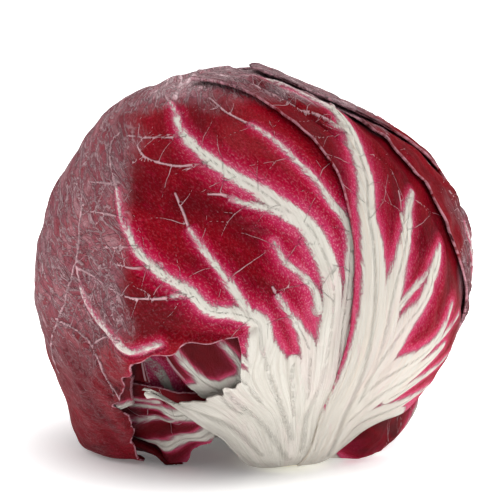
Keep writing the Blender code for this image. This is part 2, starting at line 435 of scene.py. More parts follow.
def declare(piece: Thing, material: Material, node: str = "") -> None:
    """Dresses a piece of the head and says where it belongs.

    Args:
        piece: the piece.
        material: its finish.
        node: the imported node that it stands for, if any.
    """
    piece.data.materials.append(material)
    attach(piece, "root")
    if node:
        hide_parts(node)


class Wire:
    """A value in a material that takes part in sums written as Python expressions."""

    def __init__(self, bench: "Bench", socket: bpy.types.NodeSocket) -> None:
        """Wraps an output socket of that bench."""
        self.bench, self.socket = bench, socket

    def _sum(self, operation: str, first: Any, second: Any) -> "Wire":
        """A Math node with those two values."""
        return self.bench.node("ShaderNodeMath", {"operation": operation}, {0: first, 1: second})

    def __add__(self, other: Any) -> "Wire":
        """self + other."""
        return self._sum("ADD", self, other)

    def __sub__(self, other: Any) -> "Wire":
        """self - other."""
        return self._sum("SUBTRACT", self, other)

    def __rsub__(self, other: Any) -> "Wire":
        """other - self."""
        return self._sum("SUBTRACT", other, self)

    def __mul__(self, other: Any) -> "Wire":
        """self * other."""
        return self._sum("MULTIPLY", self, other)

    __radd__, __rmul__ = __add__, __mul__

    def least(self, other: Any) -> "Wire":
        """The smaller of the two."""
        return self._sum("MINIMUM", self, other)

    def most(self, other: Any) -> "Wire":
        """The larger of the two."""
        return self._sum("MAXIMUM", self, other)

    def rising(self, start: float, end: float) -> "Wire":
        """0 before start, 1 after end, smooth between."""
        values = {"Value": self, "From Min": start, "From Max": end}
        return self.bench.node("ShaderNodeMapRange", {"interpolation_type": "SMOOTHSTEP"}, values)


class Bench:
    """A material's nodes, and the few ways that this script adds to them."""

    def __init__(self, tree: bpy.types.NodeTree) -> None:
        """Starts from an empty tree."""
        self.tree = tree
        tree.nodes.clear()

    def node(self, kind: str, settings: dict[str, Any], values: dict[Any, Any], output: Any = 0) -> Wire:
        """Adds a node.

        Args:
            kind: the node's type.
            settings: its properties, set first.
            values: a constant or a wire for each input socket.
            output: which output is wanted.

        Returns:
            The wire from that output.
        """
        made = self.tree.nodes.new(kind)
        for key, value in settings.items():
            setattr(made, key, value)
        for key, value in values.items():
            if isinstance(value, Wire):
                self.tree.links.new(value.socket, made.inputs[key])
            else:
                made.inputs[key].default_value = value
        return Wire(self, made.outputs[output])

    def attribute(self, name: str, output: str = "Fac") -> Wire:
        """A named value of the mesh."""
        return self.node("ShaderNodeAttribute", {"attribute_name": name}, {}, output)

    def noise(
        self, place: Wire, across: float, along: float, detail: float, move: float, warp: float = 0.0
    ) -> Wire:
        """Soft noise.

        Args:
            place: where it is read.
            across: how many of its features fit in a unit across the leaf.
            along: how many fit in a unit along it.
            detail: how many finer octaves it has.
            move: moves the pattern, so that no two are alike.
            warp: how far it is distorted.

        Returns:
            The noise, from 0 to 1.
        """
        values = {"Location": (move, move, move), "Scale": (across, along, 1), "Vector": place}
        spot = self.node("ShaderNodeMapping", {"vector_type": "POINT"}, values)
        values = {"Vector": spot, "Scale": 1.0, "Detail": detail, "Roughness": 0.6, "Distortion": warp}
        return self.node("ShaderNodeTexNoise", {"noise_dimensions": "3D"}, values)

    def cells(self, place: Wire, scale: float) -> Wire:
        """How far the nearest border between random cells is."""
        settings = {"feature": "DISTANCE_TO_EDGE", "voronoi_dimensions": "3D"}
        return self.node("ShaderNodeTexVoronoi", settings, {"Vector": place, "Scale": scale}, "Distance")

    def layers(self, base: Any, coats: Sequence[tuple[Any, Any]]) -> Any:
        """Lays colours over one another.

        Args:
            base: the lowest colour.
            coats: the share and the colour of each one over it, in order.

        Returns:
            The colour that shows.
        """
        for share, colour in coats:
            values = {0: share, 6: base, 7: colour}
            base = self.node("ShaderNodeMix", {"data_type": "RGBA", "clamp_factor": True}, values, 2)
        return base

    def shifted(self, place: Wire, scale: float, amount: float) -> Wire:
        """Moves places about at random.

        Args:
            place: the places.
            scale: how many moves fit in a unit.
            amount: how far the moves go.

        Returns:
            The moved places.
        """
        by = self.node("ShaderNodeTexNoise", {}, {"Vector": place, "Scale": scale, "Detail": 2.0}, "Color")
        centred = self.node("ShaderNodeVectorMath", {"operation": "SUBTRACT"}, {0: by, 1: (0.5, 0.5, 0.5)})
        values = {0: centred, 1: (amount, amount, amount), 2: place}
        return self.node("ShaderNodeVectorMath", {"operation": "MULTIPLY_ADD"}, values)

    def bump(self, strength: float, distance: float, height: Wire) -> Wire:
        """The normal over a relief, whose full height is that distance in metres."""
        values = {"Strength": strength, "Distance": distance, "Height": height}
        return self.node("ShaderNodeBump", {}, values)

    def finish(self, shader: str, values: dict[str, Any], output: str = "ShaderNodeOutputMaterial") -> None:
        """Sends a shader with those values to the material's or the world's output."""
        target = self.tree.nodes.new(output)
        self.tree.links.new(self.node(shader, {}, values).socket, target.inputs["Surface"])


def new_material(name: str) -> tuple[Material, Bench]:
    """A new material, and the bench to make it on."""
    made = bpy.data.materials.new(name)
    made.use_nodes = True
    return made, Bench(made.node_tree)


@dataclass(frozen=True)
class LeafFinish:
    """A radicchio leaf: crimson blade, cream ribs that feather into it in pink streaks, fine veins."""

    name: str
    crimson: Colour = (0.25, 0.001, 0.008, 1)
    deep: Colour = (0.12, 0.0005, 0.004, 1)
    bright: Colour = (0.46, 0.002, 0.045, 1)
    magenta: Colour = (0.46, 0.028, 0.11, 1)
    blush: Colour = (0.72, 0.38, 0.45, 1)
    cream: Colour = (0.63, 0.60, 0.54, 1)
    shade: Colour = (0.52, 0.48, 0.42, 1)
    # groove_shade: painted shade for the groove down the middle of the ribs
    groove_shade: Colour = (0.30, 0.27, 0.22, 1)
    vein: Colour = (0.74, 0.45, 0.49, 1)
    # wax_and_sheen: the grey waxen coat's colour, partly painted sheen for light grazing the sides and top
    wax_and_sheen: Colour = (0.30, 0.13, 0.16, 1)
    # sheen_highlight: a painted highlight on the creases and wrinkle ridges of the waxen coat, and on the
    # pale ribs there
    sheen_highlight: Colour = (0.85, 0.64, 0.67, 1)
    roughness: float = 0.36
    coat: float = 0.1
    relief: tuple[float, float] = (1.0, 0.0018)  # strength, and metres from its lowest to its highest
    seed: float = 0.0

    def material(self) -> Material:
        """Returns the leaf's material."""
        made, bench = new_material(self.name)
        grain, strand = bench.attribute("grain", "Vector"), bench.attribute("strand", "Vector")
        fine = bench.noise(strand, 2.6, 0.2, 3, self.seed)
        broad = bench.noise(strand, 0.8, 0.09, 2, self.seed + 3)
        mottle = bench.noise(grain, 0.07, 0.045, 4, self.seed + 7, 0.6)
        speck = bench.noise(grain, 0.9, 0.7, 3, self.seed + 9, 0.4)
        wrinkle = bench.noise(grain, 0.75, 0.2, 4, self.seed + 5, 0.8)
        thread = bench.noise(grain, 1.5, 0.05, 3, self.seed + 13)
        dots = bench.noise(grain, 3.2, 2.2, 2, self.seed + 15, 0.5)

        rib = bench.attribute("blush")
        spiky = bench.attribute("outside") + (fine - 0.5) * 1.5 + (broad - 0.5) * 2.0 + (dots - 0.5) * 2.2
        pale = 1 - spiky.rising(-0.6, 0.5)
        pink = 1 - (rib + (fine - 0.5) * 1.0 + (broad - 0.5) * 1.0).rising(-0.1, 1.2)
        glow = 1 - (rib + (broad - 0.5) * 2.4).rising(0.4, 3.0)
        on_blade = rib.rising(0.2, 1.6)

        warped = bench.shifted(grain, 0.22, 3.0)
        net = 1 - bench.cells(warped, 0.22).rising(0.0, 0.05)
        small_net = 1 - bench.cells(warped, 0.55).rising(0.0, 0.12)
        # where the grey waxen coat and painted sheen lie; thick marks the top, where they are strongest
        bloom_sheen_share = bench.attribute("bloom_and_sheen")
        wax_and_sheen, thick = bloom_sheen_share.least(1.0) * rib.rising(0.0, 0.8), bloom_sheen_share.rising(1.0, 1.6)
        off = wrinkle - 0.5
        crease = 1 - off.most(off * -1).rising(0.0, 0.05)
        # painted highlight lines along the creases and wrinkle ridges, with more of them, dotted, at the top
        highlight_lines = crease * 0.5 + wrinkle.rising(0.52, 0.7) * (thick * 0.4 + 0.25)
        highlight_lines = highlight_lines + thick * dots.rising(0.3, 0.6) * 0.3

        offset = bench.attribute("vein_offset", "Vector")
        length = bench.node("ShaderNodeVectorMath", {"operation": "LENGTH"}, {0: offset}, 1)
        gap = length.most(bench.attribute("vein") - VEIN_CELL)
        vein = 1 - (gap + (speck - 0.5) * 1.2).rising(0.5, 1.4)
        edge = 1 - bench.attribute("edge").rising(0.1, 0.4)
        blade = bench.layers(self.deep, (
            (mottle.rising(0.35, 0.62), self.crimson),
            (speck.rising(0.5, 0.8) * 0.3, self.bright),
            (dots.rising(0.56, 0.3) * 0.5, self.deep),
            (glow * 0.7, self.bright),
            (pink * 0.85, self.magenta),
            (pink * fine.rising(0.5, 0.75) * 0.35, self.blush),
            # pale pink dots: partly the blade's own speckle, partly painted highlights on its blisters
            ((pink * 0.5 + glow * 0.3 + 0.1) * dots.rising(0.5, 0.68) * 0.5, self.blush),
            # the grey waxen coat with painted sheen over it
            (wax_and_sheen * (speck.rising(0.2, 0.6) * 0.4 + net * 0.2 + 0.25), self.wax_and_sheen),
            # painted highlights along its creases and wrinkles
            (wax_and_sheen * highlight_lines, self.sheen_highlight),
            (vein * on_blade * 0.8, self.vein),
            # pale pink along the margins: partly their own tint, partly a painted highlight on the rolled
            # edge
            (edge * on_blade * speck.rising(0.3, 0.6) * 0.7, self.blush),
        ))
        # a dotted darker line down the middle of each rib: painted shade in its groove, which the relief also
        # sinks
        groove_shade = (1 - bench.attribute("core").rising(0.02, 0.2)) * speck.rising(0.35, 0.6)
        flesh = bench.layers(self.cream, (
            (thread.rising(0.4, 0.7) * 0.8, self.shade),
            (groove_shade * 0.22, self.groove_shade),
            (mottle.rising(0.5, 0.7) * 0.12, self.blush),
            ((1 - pale) * 0.8 + broad.rising(0.56, 0.76) * 0.25, self.blush),
            # painted sheen on the pale ribs where the waxen coat is
            (bloom_sheen_share.least(1.0) * 0.45, self.sheen_highlight),
        ))

        sheen_wrinkles = wax_and_sheen * (net * 0.4 + small_net * 0.2 + crease * 0.6)
        relief = on_blade * (sheen_wrinkles + wrinkle * 0.9 + dots * 0.4) + vein * 0.5 + fine * 0.07
        relief = relief + pale * (thread * 0.35 + speck * 0.12 - groove_shade * 0.25)
        bench.finish("ShaderNodeBsdfPrincipled", {
            "Base Color": bench.layers(blade, ((pale, flesh),)),
            "Roughness": self.roughness + (mottle - 0.5) * 0.14 + pale * 0.1 + wax_and_sheen * 0.08,
            "Normal": bench.bump(*self.relief, relief),
            "Specular IOR Level": 0.0,
            "Coat Weight": self.coat,
            "Coat Roughness": 0.3,
        })
        return made


@dataclass
class Leaf:
    """One leaf: a closed sheet over rows of (azimuth, polar, lift), from foot to tip and left to right."""

    name: str
    rows: Rows  # where a lift is left out, it is 0
    ribs: tuple[Rib, ...] = ()
    growth: VeinGrowth = VeinGrowth()
    slot: Slot = Slot.OUTER
    finish: LeafFinish = LeafFinish("crimson leaf")
    cells: tuple[int, int] = (36, 36)  # coarse cells, down and across
    blade: float = 0.7
    foot: float = 1.6
    foot_to_blade: Limits = (22.0, 58.0)
    air: float = 0.6  # room to the leaves below
    rim: float = 0.3  # thickness at the margin
    pucker: float = 0.45
    ragged: float = 0.8
    curl: Place = (0.5, 0.5, 0.5)  # how far the left, right and tip margins stand off
    white_foot: tuple[float, float] = (30.0, 9.0)  # polar angle where the white foot ends, and how softly
    tear: tuple[int, float] | None = None  # row below the tear, share of the width torn open from the left
    folds: tuple[Fold, ...] = ()
    tucks: tuple[Tuck, ...] = ()
    flush: Limits | None = None  # polar angles between which it stops being level with those below
    stands_for: bool = True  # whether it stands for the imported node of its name
    seed: int = 1

    def sheet(self, down: Array, across: Array) -> tuple[Array, Array]:
        """Rays and lifts on the leaf.

        Args:
            down: shares of the way down it.
            across: as many shares of the way across.

        Returns:
            The ray and the lift at each.
        """
        net = np.array([[(*knot, 0.0)[:3] for knot in row] for row in self.rows], float)
        along = spline_weights(net.shape[0], down * (net.shape[0] - 1))
        over = spline_weights(net.shape[1], across * (net.shape[1] - 1))
        knots = FORM.ray(net[..., 0], net[..., 1])
        rays = unit(np.einsum("...i,ijk,...j->...k", along, knots, over, optimize=True))
        return rays, np.einsum("...i,ij,...j->...", along, net[..., 2], over, optimize=True)

    def shares(self, rows: int, columns: int) -> tuple[Array, Array]:
        """A grid over the leaf, with ragged margins.

        Args:
            rows: how many points it has down.
            columns: how many it has across.

        Returns:
            The share of the way down and across at each point.
        """
        down, across = np.meshgrid(np.linspace(0, 1, rows), np.linspace(0, 1, columns), indexing="ij")
        size = self.ragged / 70.0
        wave, small = Swell(self.seed + 50, 0.16), Swell(self.seed + 51, 0.045)

        def jag(way: Array, margin: Margin) -> Array:
            """Ragged moves along a margin."""
            spots = np.stack((way, np.full_like(way, margin.value), np.zeros_like(way)), axis=-1)
            return (wave.at(spots) + 0.6 * small.at(spots)) * size

        left, right = (eased(share, 0.86, 1.0) for share in (1 - across, across))
        moved_across = across + jag(down, Margin.LEFT) * left + jag(down, Margin.RIGHT) * right
        moved_down = down + jag(across, Margin.TIP) * eased(down, 0.88, 1.0)
        if self.tear:
            for row, margin in enumerate((Margin.TEAR_TOP, Margin.TEAR_BOTTOM), self.tear[0]):
                near = np.clip(1 - np.abs(down * (len(self.rows) - 1) - row), 0, 1)
                moved_down = moved_down + jag(across, margin) * 1.1 * near
        return moved_down, moved_across

    def torn(self) -> Array:
        """Which coarse cells a tear leaves out."""
        out = np.zeros(self.cells, bool)
        if self.tear:
            down, across = ((np.arange(count) + 0.5) / count for count in self.cells)
            inside = np.floor(down * (len(self.rows) - 1)) == self.tear[0]
            out[np.ix_(inside, across < self.tear[1])] = True
        return out

    def thickness(self, rays: Array) -> Array:
        """The leaf's thickness, which falls from its foot to its blade."""
        return self.blade + self.foot * (1 - eased(FORM.angles(rays)[1], *self.foot_to_blade))

    def pitch(self, rays: Array) -> Array:
        """The room that the leaf takes from the ones below."""
        room = self.thickness(rays) + self.air
        return 0.12 + room * eased(FORM.angles(rays)[1], *self.flush) if self.flush else room

    def cover(self) -> CoverMap:
        """The map of how it presses on the leaves below."""
        count, step = (110, 1.5) if self.slot is Slot.OUTER else (48, 3.0)
        shares = np.meshgrid(np.linspace(0, 1, count), np.linspace(0, 1, count), indexing="ij")
        return CoverMap(self.sheet(*shares)[0], self.pitch, step)

    def traced(self, path: Path, count: int, on_leaf: bool = False) -> tuple[Array, Array]:
        """Follows a path.

        Args:
            path: a rib's or a fold's.
            count: how many places on it are wanted.
            on_leaf: whether the path is in shares of the leaf.

        Returns:
            The ray and the half width at each place.
        """
        first, second, half = np.array(path, float).T
        weights = spline_weights(len(path), np.linspace(0, len(path) - 1, count))
        if on_leaf:
            return self.sheet(weights @ second, weights @ first)[0], weights @ half
        return unit(weights @ FORM.ray(first, second)), weights @ half

    def rib_lines(self) -> list[RibLine]:
        """Its ribs as closely spaced rays."""
        lines = []
        for rib in self.ribs:
            points, half = self.traced(rib.path, 10 * len(rib.path) - 9, rib.on_leaf)
            half = np.maximum(half, 0.12)
            height = rib.height * np.clip(half / half.max(), 0.15, 1) ** 0.6
            feather = rib.feather[0] + (rib.feather[1] - rib.feather[0]) * np.linspace(0, 1, len(half))
            lines.append(RibLine(points, half, height, feather))
        return lines

    def vein_lines(self, lines: list[RibLine]) -> tuple[Array, Array, Array]:
        """Grows side veins from the ribs.

        Args:
            lines: the ribs.

        Returns:
            The start, the end and the half width of each short piece of vein.
        """
        growth = self.growth
        rng = np.random.default_rng(growth.seed)
        ribs = np.concatenate([line.points for line in lines])
        reach = np.concatenate([line.half_width for line in lines]) / FORM.radius
        starts, ends, widths = [], [], []
        for line in lines:
            thin = (line.half_width[:-1] < FINE_RIB).nonzero()[0]
            starts += list(line.points[thin])
            ends += list(line.points[thin + 1])
            widths += list(line.half_width[thin])

        def turned(way: Array, about: Array, angle: float) -> Array:
            """A direction, turned about another."""
            angle = np.radians(angle)
            return way * np.cos(angle) + np.cross(about, way) * np.sin(angle)

        def grow(place: Array, way: Array, length: float, width: float, forks: int) -> None:
            """Grows one vein and its forks.

            Args:
                place: the ray where it starts.
                way: where it heads.
                length: how long it is, in degrees.
                width: its half width at the start.
                forks: how many times it may fork.
            """
            steps = max(int(length), 3)
            bend = rng.normal(0, growth.bend)
            for step in range(steps):
                way = turned(way, place, rng.normal(bend, growth.wander))
                target = unit(place + way * np.radians(1.0))
                thin = width * (1 - 0.75 * step / steps)
                starts.append(place)
                ends.append(target)
                widths.append(thin)
                way = unit(way - target * (way @ target))
                place = target
                if step > 4 and np.any(span(ribs - place) < reach * 0.6):
                    return
                if forks and step > 2 and rng.random() < growth.fork / steps * 2.2:
                    side = 1 if rng.random() < 0.5 else -1
                    aside = turned(way, place, side * rng.uniform(*growth.fork_turn))
                    grow(place, aside, length * 0.55, thin * 0.8, forks - 1)

        for line in lines:
            run = np.degrees(span(np.diff(line.points, axis=0))).cumsum()
            at, side = growth.spacing * rng.uniform(0.3, 1.0), 1
            while at < run[-1]:
                index = int(np.searchsorted(run, at))
                place = line.points[index]
                way = unit(line.points[min(index + 1, len(line.points) - 1)] - line.points[index - 1])
                if FORM.angles(place)[1] > growth.start:
                    way = turned(way, place, side * rng.uniform(*growth.leave))
                    grow(place, way, rng.uniform(*growth.length), rng.uniform(*growth.width), 2)
                side = -side
                at += growth.spacing * rng.uniform(0.35, 0.8)
        return np.array(starts), np.array(ends), np.array(widths)

    def fields(self, rays: Array) -> dict[str, Array]:
        """What the finish and the relief need at each place.

        Args:
            rays: the places.

        Returns:
            outside and blush, how far outside the ribs' pale parts, in millimetres and in feather widths;
            dome and fold, how far ribs and folds raise the sheet;
            strand, a place along and across the streaks beside the nearest rib;
            core, how far from that rib's middle, in half widths;
            vein and vein_offset, how far and which way the nearest vein is, in vein widths;
            bloom_and_sheen, how much grey waxen coat and painted sheen there is.
        """
        count = len(rays)
        drift = Swell(self.seed + 9, 30.0).at(rays * FORM.radius) * 3.0
        past_foot = FORM.angles(rays)[1] - self.white_foot[0] + drift
        blush, outside = past_foot / self.white_foot[1], past_foot * np.radians(FORM.radius)
        dome, fold, strand = np.zeros(count), np.zeros(count), np.zeros((count, 3))
        core, nearest = np.full(count, FAR), np.full(count, np.inf)
        lines = self.rib_lines()
        for number, line in enumerate(lines):
            gap, best, share = nearest_piece(rays, line.points[:-1], line.points[1:])
            half, feather, height = (
                values[best] * (1 - share) + values[best + 1] * share
                for values in (line.half_width, line.feather, line.height)
            )
            beyond = gap - half + 12 * eased(-half, -FINE_RIB, -0.8 * FINE_RIB)
            outside, blush = np.minimum(outside, beyond), np.minimum(blush, beyond / feather)
            across = np.clip(gap / (half * 1.35), 0, 1)
            groove = 1 - 0.3 * np.exp(-((gap / half / 0.2) ** 2)) * (half > 0.9)
            dome = np.maximum(dome, height * (1 - across**2) ** 1.5 * groove)
            along = (span(np.diff(line.points, axis=0)).cumsum() * FORM.radius)[best] + share
            turned = (
                along * np.sin(FIBRE_SLANT) - gap * np.cos(FIBRE_SLANT),
                along * np.cos(FIBRE_SLANT) + gap * np.sin(FIBRE_SLANT),
                np.full(count, number * 7.0),
            )
            closer = beyond < nearest
            strand[closer] = np.stack(turned, axis=-1)[closer]
            core[closer], nearest[closer] = (gap / half)[closer], beyond[closer]
        for crease in self.folds:
            points, half = self.traced(crease.path, 10 * len(crease.path))
            gap, best, _ = nearest_piece(rays, points[:-1], points[1:])
            fold += crease.height * np.exp(-((gap / np.maximum(half, 0.1)[best]) ** 2))
        vein, offset = np.full(count, FAR), np.full((count, 3), FAR)
        if lines:
            starts, ends, widths = self.vein_lines(lines)
            gap, best, share = nearest_piece(rays, starts, ends)
            closest = starts[best] + (ends[best] - starts[best]) * share[:, None]
            vein = np.minimum(gap / widths[best], FAR)
            offset = np.clip((rays - closest) * FORM.radius / widths[best][:, None], -FAR, FAR)
        blush, outside = np.clip(blush, -4, 6), np.clip(outside, -4, FAR)
        return {
            "blush": blush, "outside": outside, "dome": dome, "fold": fold, "strand": strand,
            "core": np.minimum(core, FAR), "vein": vein, "vein_offset": offset, "bloom_and_sheen": BloomAndSheen().at(rays),
        }

    def margins(self, points: Array, out: Array) -> tuple[Array, Array, Array]:
        """How far each place is from the leaf's margins, along the sheet.

        Args:
            points: the grid's points.
            out: coarse cells that a tear leaves out.

        Returns:
            The distances from the left, right and tip margins, the tip's also counting the tear's edges.
        """
        over, down = run_along(points, 1), run_along(points, 0)
        tip = down[-1:] - down
        if out.any():
            r, c = np.nonzero(out)
            top, bottom, last = r.min() * FINE, (r.max() + 1) * FINE, (c.max() + 1) * FINE
            cuts = (points[top, : last + 1], points[bottom, : last + 1], points[top : bottom + 1, last])
            rim = np.concatenate(cuts)
            parts = np.array_split(points.reshape(-1, 3), 60)
            near = np.concatenate([np.sqrt(((part[:, None] - rim) ** 2).sum(-1)).min(1) for part in parts])
            tip = np.minimum(tip, near.reshape(tip.shape))
        return over, over[:, -1:] - over, tip

    def shell(self, out: Array) -> tuple[list[Array], Array]:
        """Faces of the fine outer sheet, the coarse inner one and the walls between.

        Args:
            out: coarse cells that are left out.

        Returns:
            Quads and triangles, and which outer grid points the inner sheet's vertices lie under.
        """
        rows, columns = self.cells
        shape = rows * FINE + 1, columns * FINE + 1
        fine = np.arange(shape[0] * shape[1]).reshape(shape)
        coarse = np.arange((rows + 1) * (columns + 1)).reshape(rows + 1, columns + 1)

        def corners(index: Array) -> Array:
            """The four corners of each cell."""
            return np.stack((index[:-1, :-1], index[:-1, 1:], index[1:, 1:], index[1:, :-1]), axis=-1)

        outer = corners(fine)[np.kron(~out, np.ones((FINE, FINE), bool))]
        inner = corners(coarse)[~out]
        shift, middle = fine.size, FINE // 2
        directed = {(cell[k], cell[(k + 1) % 4]) for cell in inner.tolist() for k in range(4)}
        walls = []
        for start, end in sorted(edge for edge in directed if (edge[1], edge[0]) not in directed):
            first, last = (np.array(divmod(corner, columns + 1)) * FINE for corner in (start, end))
            run = [int(fine[tuple(first + (last - first) * k // FINE)]) for k in range(FINE + 1)]
            for k in range(FINE):
                walls.append((run[k + 1], run[k], shift + (start if k < middle else end)))
            walls.append((run[middle], shift + start, shift + end))
        quads = np.concatenate((outer, inner[:, ::-1] + shift))
        return [quads, np.array(walls)], fine[::FINE, ::FINE].ravel()

    def relief(self, values: dict[str, Array], rays: Array, flat: Array, gaps: Sequence[Array]) -> Array:
        """How far the leaf's ribs, veins, puckers, creases, folds and curled margins stand proud.

        Args:
            values: what fields gives.
            rays: the places.
            flat: the places on the leaf laid flat.
            gaps: how far they are from the left, right and tip margins.

        Returns:
            The height at each place.
        """
        spots, edge = rays * FORM.radius, np.min(gaps, axis=0)
        on_blade = eased(values["blush"], 0.1, 1.5)
        swell = Swell(self.seed, 17).at(spots) * 0.6 + Swell(self.seed + 1, 8).at(spots) * 0.4
        crumple = np.abs(Swell(self.seed + 2, 7).at(flat * np.array((1.0, 0.45, 1.0)))) * 0.5
        crease = np.exp(-((Swell(self.seed + 3, 6.0).at(flat * np.array((1.0, 0.35, 1.0))) / 0.2) ** 2))
        crease *= 0.12 + 0.4 * values["bloom_and_sheen"]
        quilt = 1 - np.exp(-values["vein"] * 0.28)
        puckers = swell + crumple + 0.9 * quilt - 0.9
        relief = values["dome"] + on_blade * self.pucker * puckers - on_blade * crease
        relief += 0.2 * np.exp(-((values["vein"] / 2.2) ** 2)) * on_blade
        relief *= eased(edge, 0.0, 2.5) * 0.8 + 0.2
        relief += values["fold"]
        for gap, height in zip(gaps, self.curl):
            relief += height * np.exp(-gap / 2.2)
        return relief

    def build(self, above: list[CoverMap]) -> Thing:
        """Builds the leaf under those above and dresses it.

        Args:
            above: the cover maps of the leaves over it.

        Returns:
            The leaf's object.
        """
        rows, columns = (count * FINE + 1 for count in self.cells)
        down, across = self.shares(rows, columns)
        grid, lift = self.sheet(down, across)
        rays, lift = grid.reshape(-1, 3), lift.ravel()
        covers = [cover.at(rays) for cover in above] or [np.zeros(len(rays))]
        bare = 1 - np.max(covers, axis=0)
        pressed = sum(share * cover.pitch(rays) for share, cover in zip(covers, above))
        pressed = pressed + drawn_under(rays, self.tucks)
        smooth = FORM.settle(rays, FORM.surface(rays, lift * bare) - pressed)

        out = self.torn()
        gaps = [gap.ravel() for gap in self.margins((rays * smooth[:, None]).reshape(rows, columns, 3), out)]
        values = self.fields(rays)
        flat = np.stack(((across.ravel() - 0.5) * 90, down.ravel() * 100, np.full(len(rays), 5.0)), axis=-1)
        outer = FORM.settle(rays, smooth + self.relief(values, rays, flat, gaps) * bare)
        edge = np.min(gaps, axis=0)
        thick = self.rim + (self.thickness(rays) - self.rim) * eased(edge, 0.0, 3.5)
        inner = np.minimum(smooth, outer) - thick

        faces, under = self.shell(out)
        vertices = np.concatenate((rays * outer[:, None], (rays * inner[:, None])[under]))
        used, place = np.unique(np.concatenate([part.ravel() for part in faces]), return_inverse=True)
        split = faces[0].size
        faces = [place[:split].reshape(-1, 4), place[split:].reshape(-1, 3)]
        layers = {key: values[key] for key in SHOWN} | {"edge": np.minimum(edge, FAR), "grain": flat}
        layers = {key: np.concatenate((value, value[under]))[used] for key, value in layers.items()}
        made = add_mesh(self.name + "_skin", vertices[used], faces, layers)
        declare(made, self.finish.material(), self.name if self.stands_for else "")
        return made


def wrapped(azimuth: float, half_width: float, reach: float, tip_lean: float = 0.0) -> Rows:
    """Rows for a plain leaf that follows a great circle from its foot over the head.

    Args:
        azimuth: where its foot is.
        half_width: how wide it is to each side, in degrees.
        reach: how far it goes, in degrees.
        tip_lean: how far its tip turns aside.

    Returns:
        Five rows of five knots.
    """
    foot, rows = 12.5, []
    for share in np.linspace(0, 1, 5):
        row = []
        width = half_width * (0.22 + 0.78 * np.sin(np.pi * (0.08 + 0.62 * share) ** 0.9))
        for side in np.linspace(-1, 1, 5):
            along = np.radians(foot + share * (reach * (1 - 0.12 * side**2) - foot))
            sideways = np.radians(side * width)
            turn = np.degrees(np.arctan2(np.sin(sideways), np.cos(sideways) * np.sin(along)))
            polar = angle_of(np.cos(sideways) * np.cos(along))
            row.append((azimuth + turn + tip_lean * share**2, max(polar, foot), 0.0))
        rows.append(tuple(row))
    return tuple(rows)


def fan_ribs(seed: int, middle: float = 0.5, pairs: int = 4, base: float = 8.0) -> tuple[Rib, ...]:
    """A midrib and side ribs that leave it in pairs, for a leaf whose ribs aren't laid out one by one.

    Args:
        seed: fixes the small differences between ribs.
        middle: how far across the leaf the midrib is.
        pairs: how many pairs of side ribs.
        base: the midrib's half width at its foot.

    Returns:
        The ribs, in shares of the leaf.
    """
    rng = np.random.default_rng(seed)
    bow = rng.uniform(-0.04, 0.04)
    steps = np.linspace(0, 0.97, 7)
    trunk = [(middle + bow * s * (1 - s) * 4, s, base * (1 - s) ** 1.25 + 0.35) for s in steps]
    ribs = [Rib(tuple(trunk), 1.8, (5.0, 0.8), True)]
    for pair in range(pairs):
        for side in (-1, 1):
            start = 0.04 + 0.56 * (pair + rng.uniform(0.0, 0.6)) / pairs
            room = (1 - middle if side > 0 else middle) * rng.uniform(0.72, 0.95)
            climb = rng.uniform(0.24, 0.4)
            width = base * (1 - start) ** 1.4 * rng.uniform(0.2, 0.34)
            path = tuple(
                (middle + side * room * s**0.8, start + climb * s**1.25, width * (1 - s) ** 0.8 + 0.25)
                for s in np.linspace(0, 1, 6)
            )
            ribs.append(Rib(path, 0.9, (3.0, 0.7), True))
    return tuple(ribs)


PALE_SIDE = LeafFinish("leaf with broad pale ribs", shade=(0.64, 0.55, 0.46, 1), seed=20.0)
INSIDE = LeafFinish("inner leaf", bright=(0.30, 0.002, 0.03, 1), vein=(0.45, 0.16, 0.2, 1), seed=40.0)
# a darker copy of the leaf finish: painted shade for the pieces that lie in the tear's hollow
SHADED = LeafFinish(
    "shaded leaf in the tear", crimson=(0.17, 0.001, 0.006, 1), bright=(0.28, 0.002, 0.025, 1), seed=60.0
)
BUTT = Tuck(4, 15, (6, 24), -4.0)
ARCH = (Tuck(-78, 18, (5, 17), 5.0), BUTT)
UNDER = (Tuck(-62, 20, (14, 34), 8.0), Tuck(98, 26, (16, 36), 11.0), Tuck(-34, 57, (5, 15), 6.0))

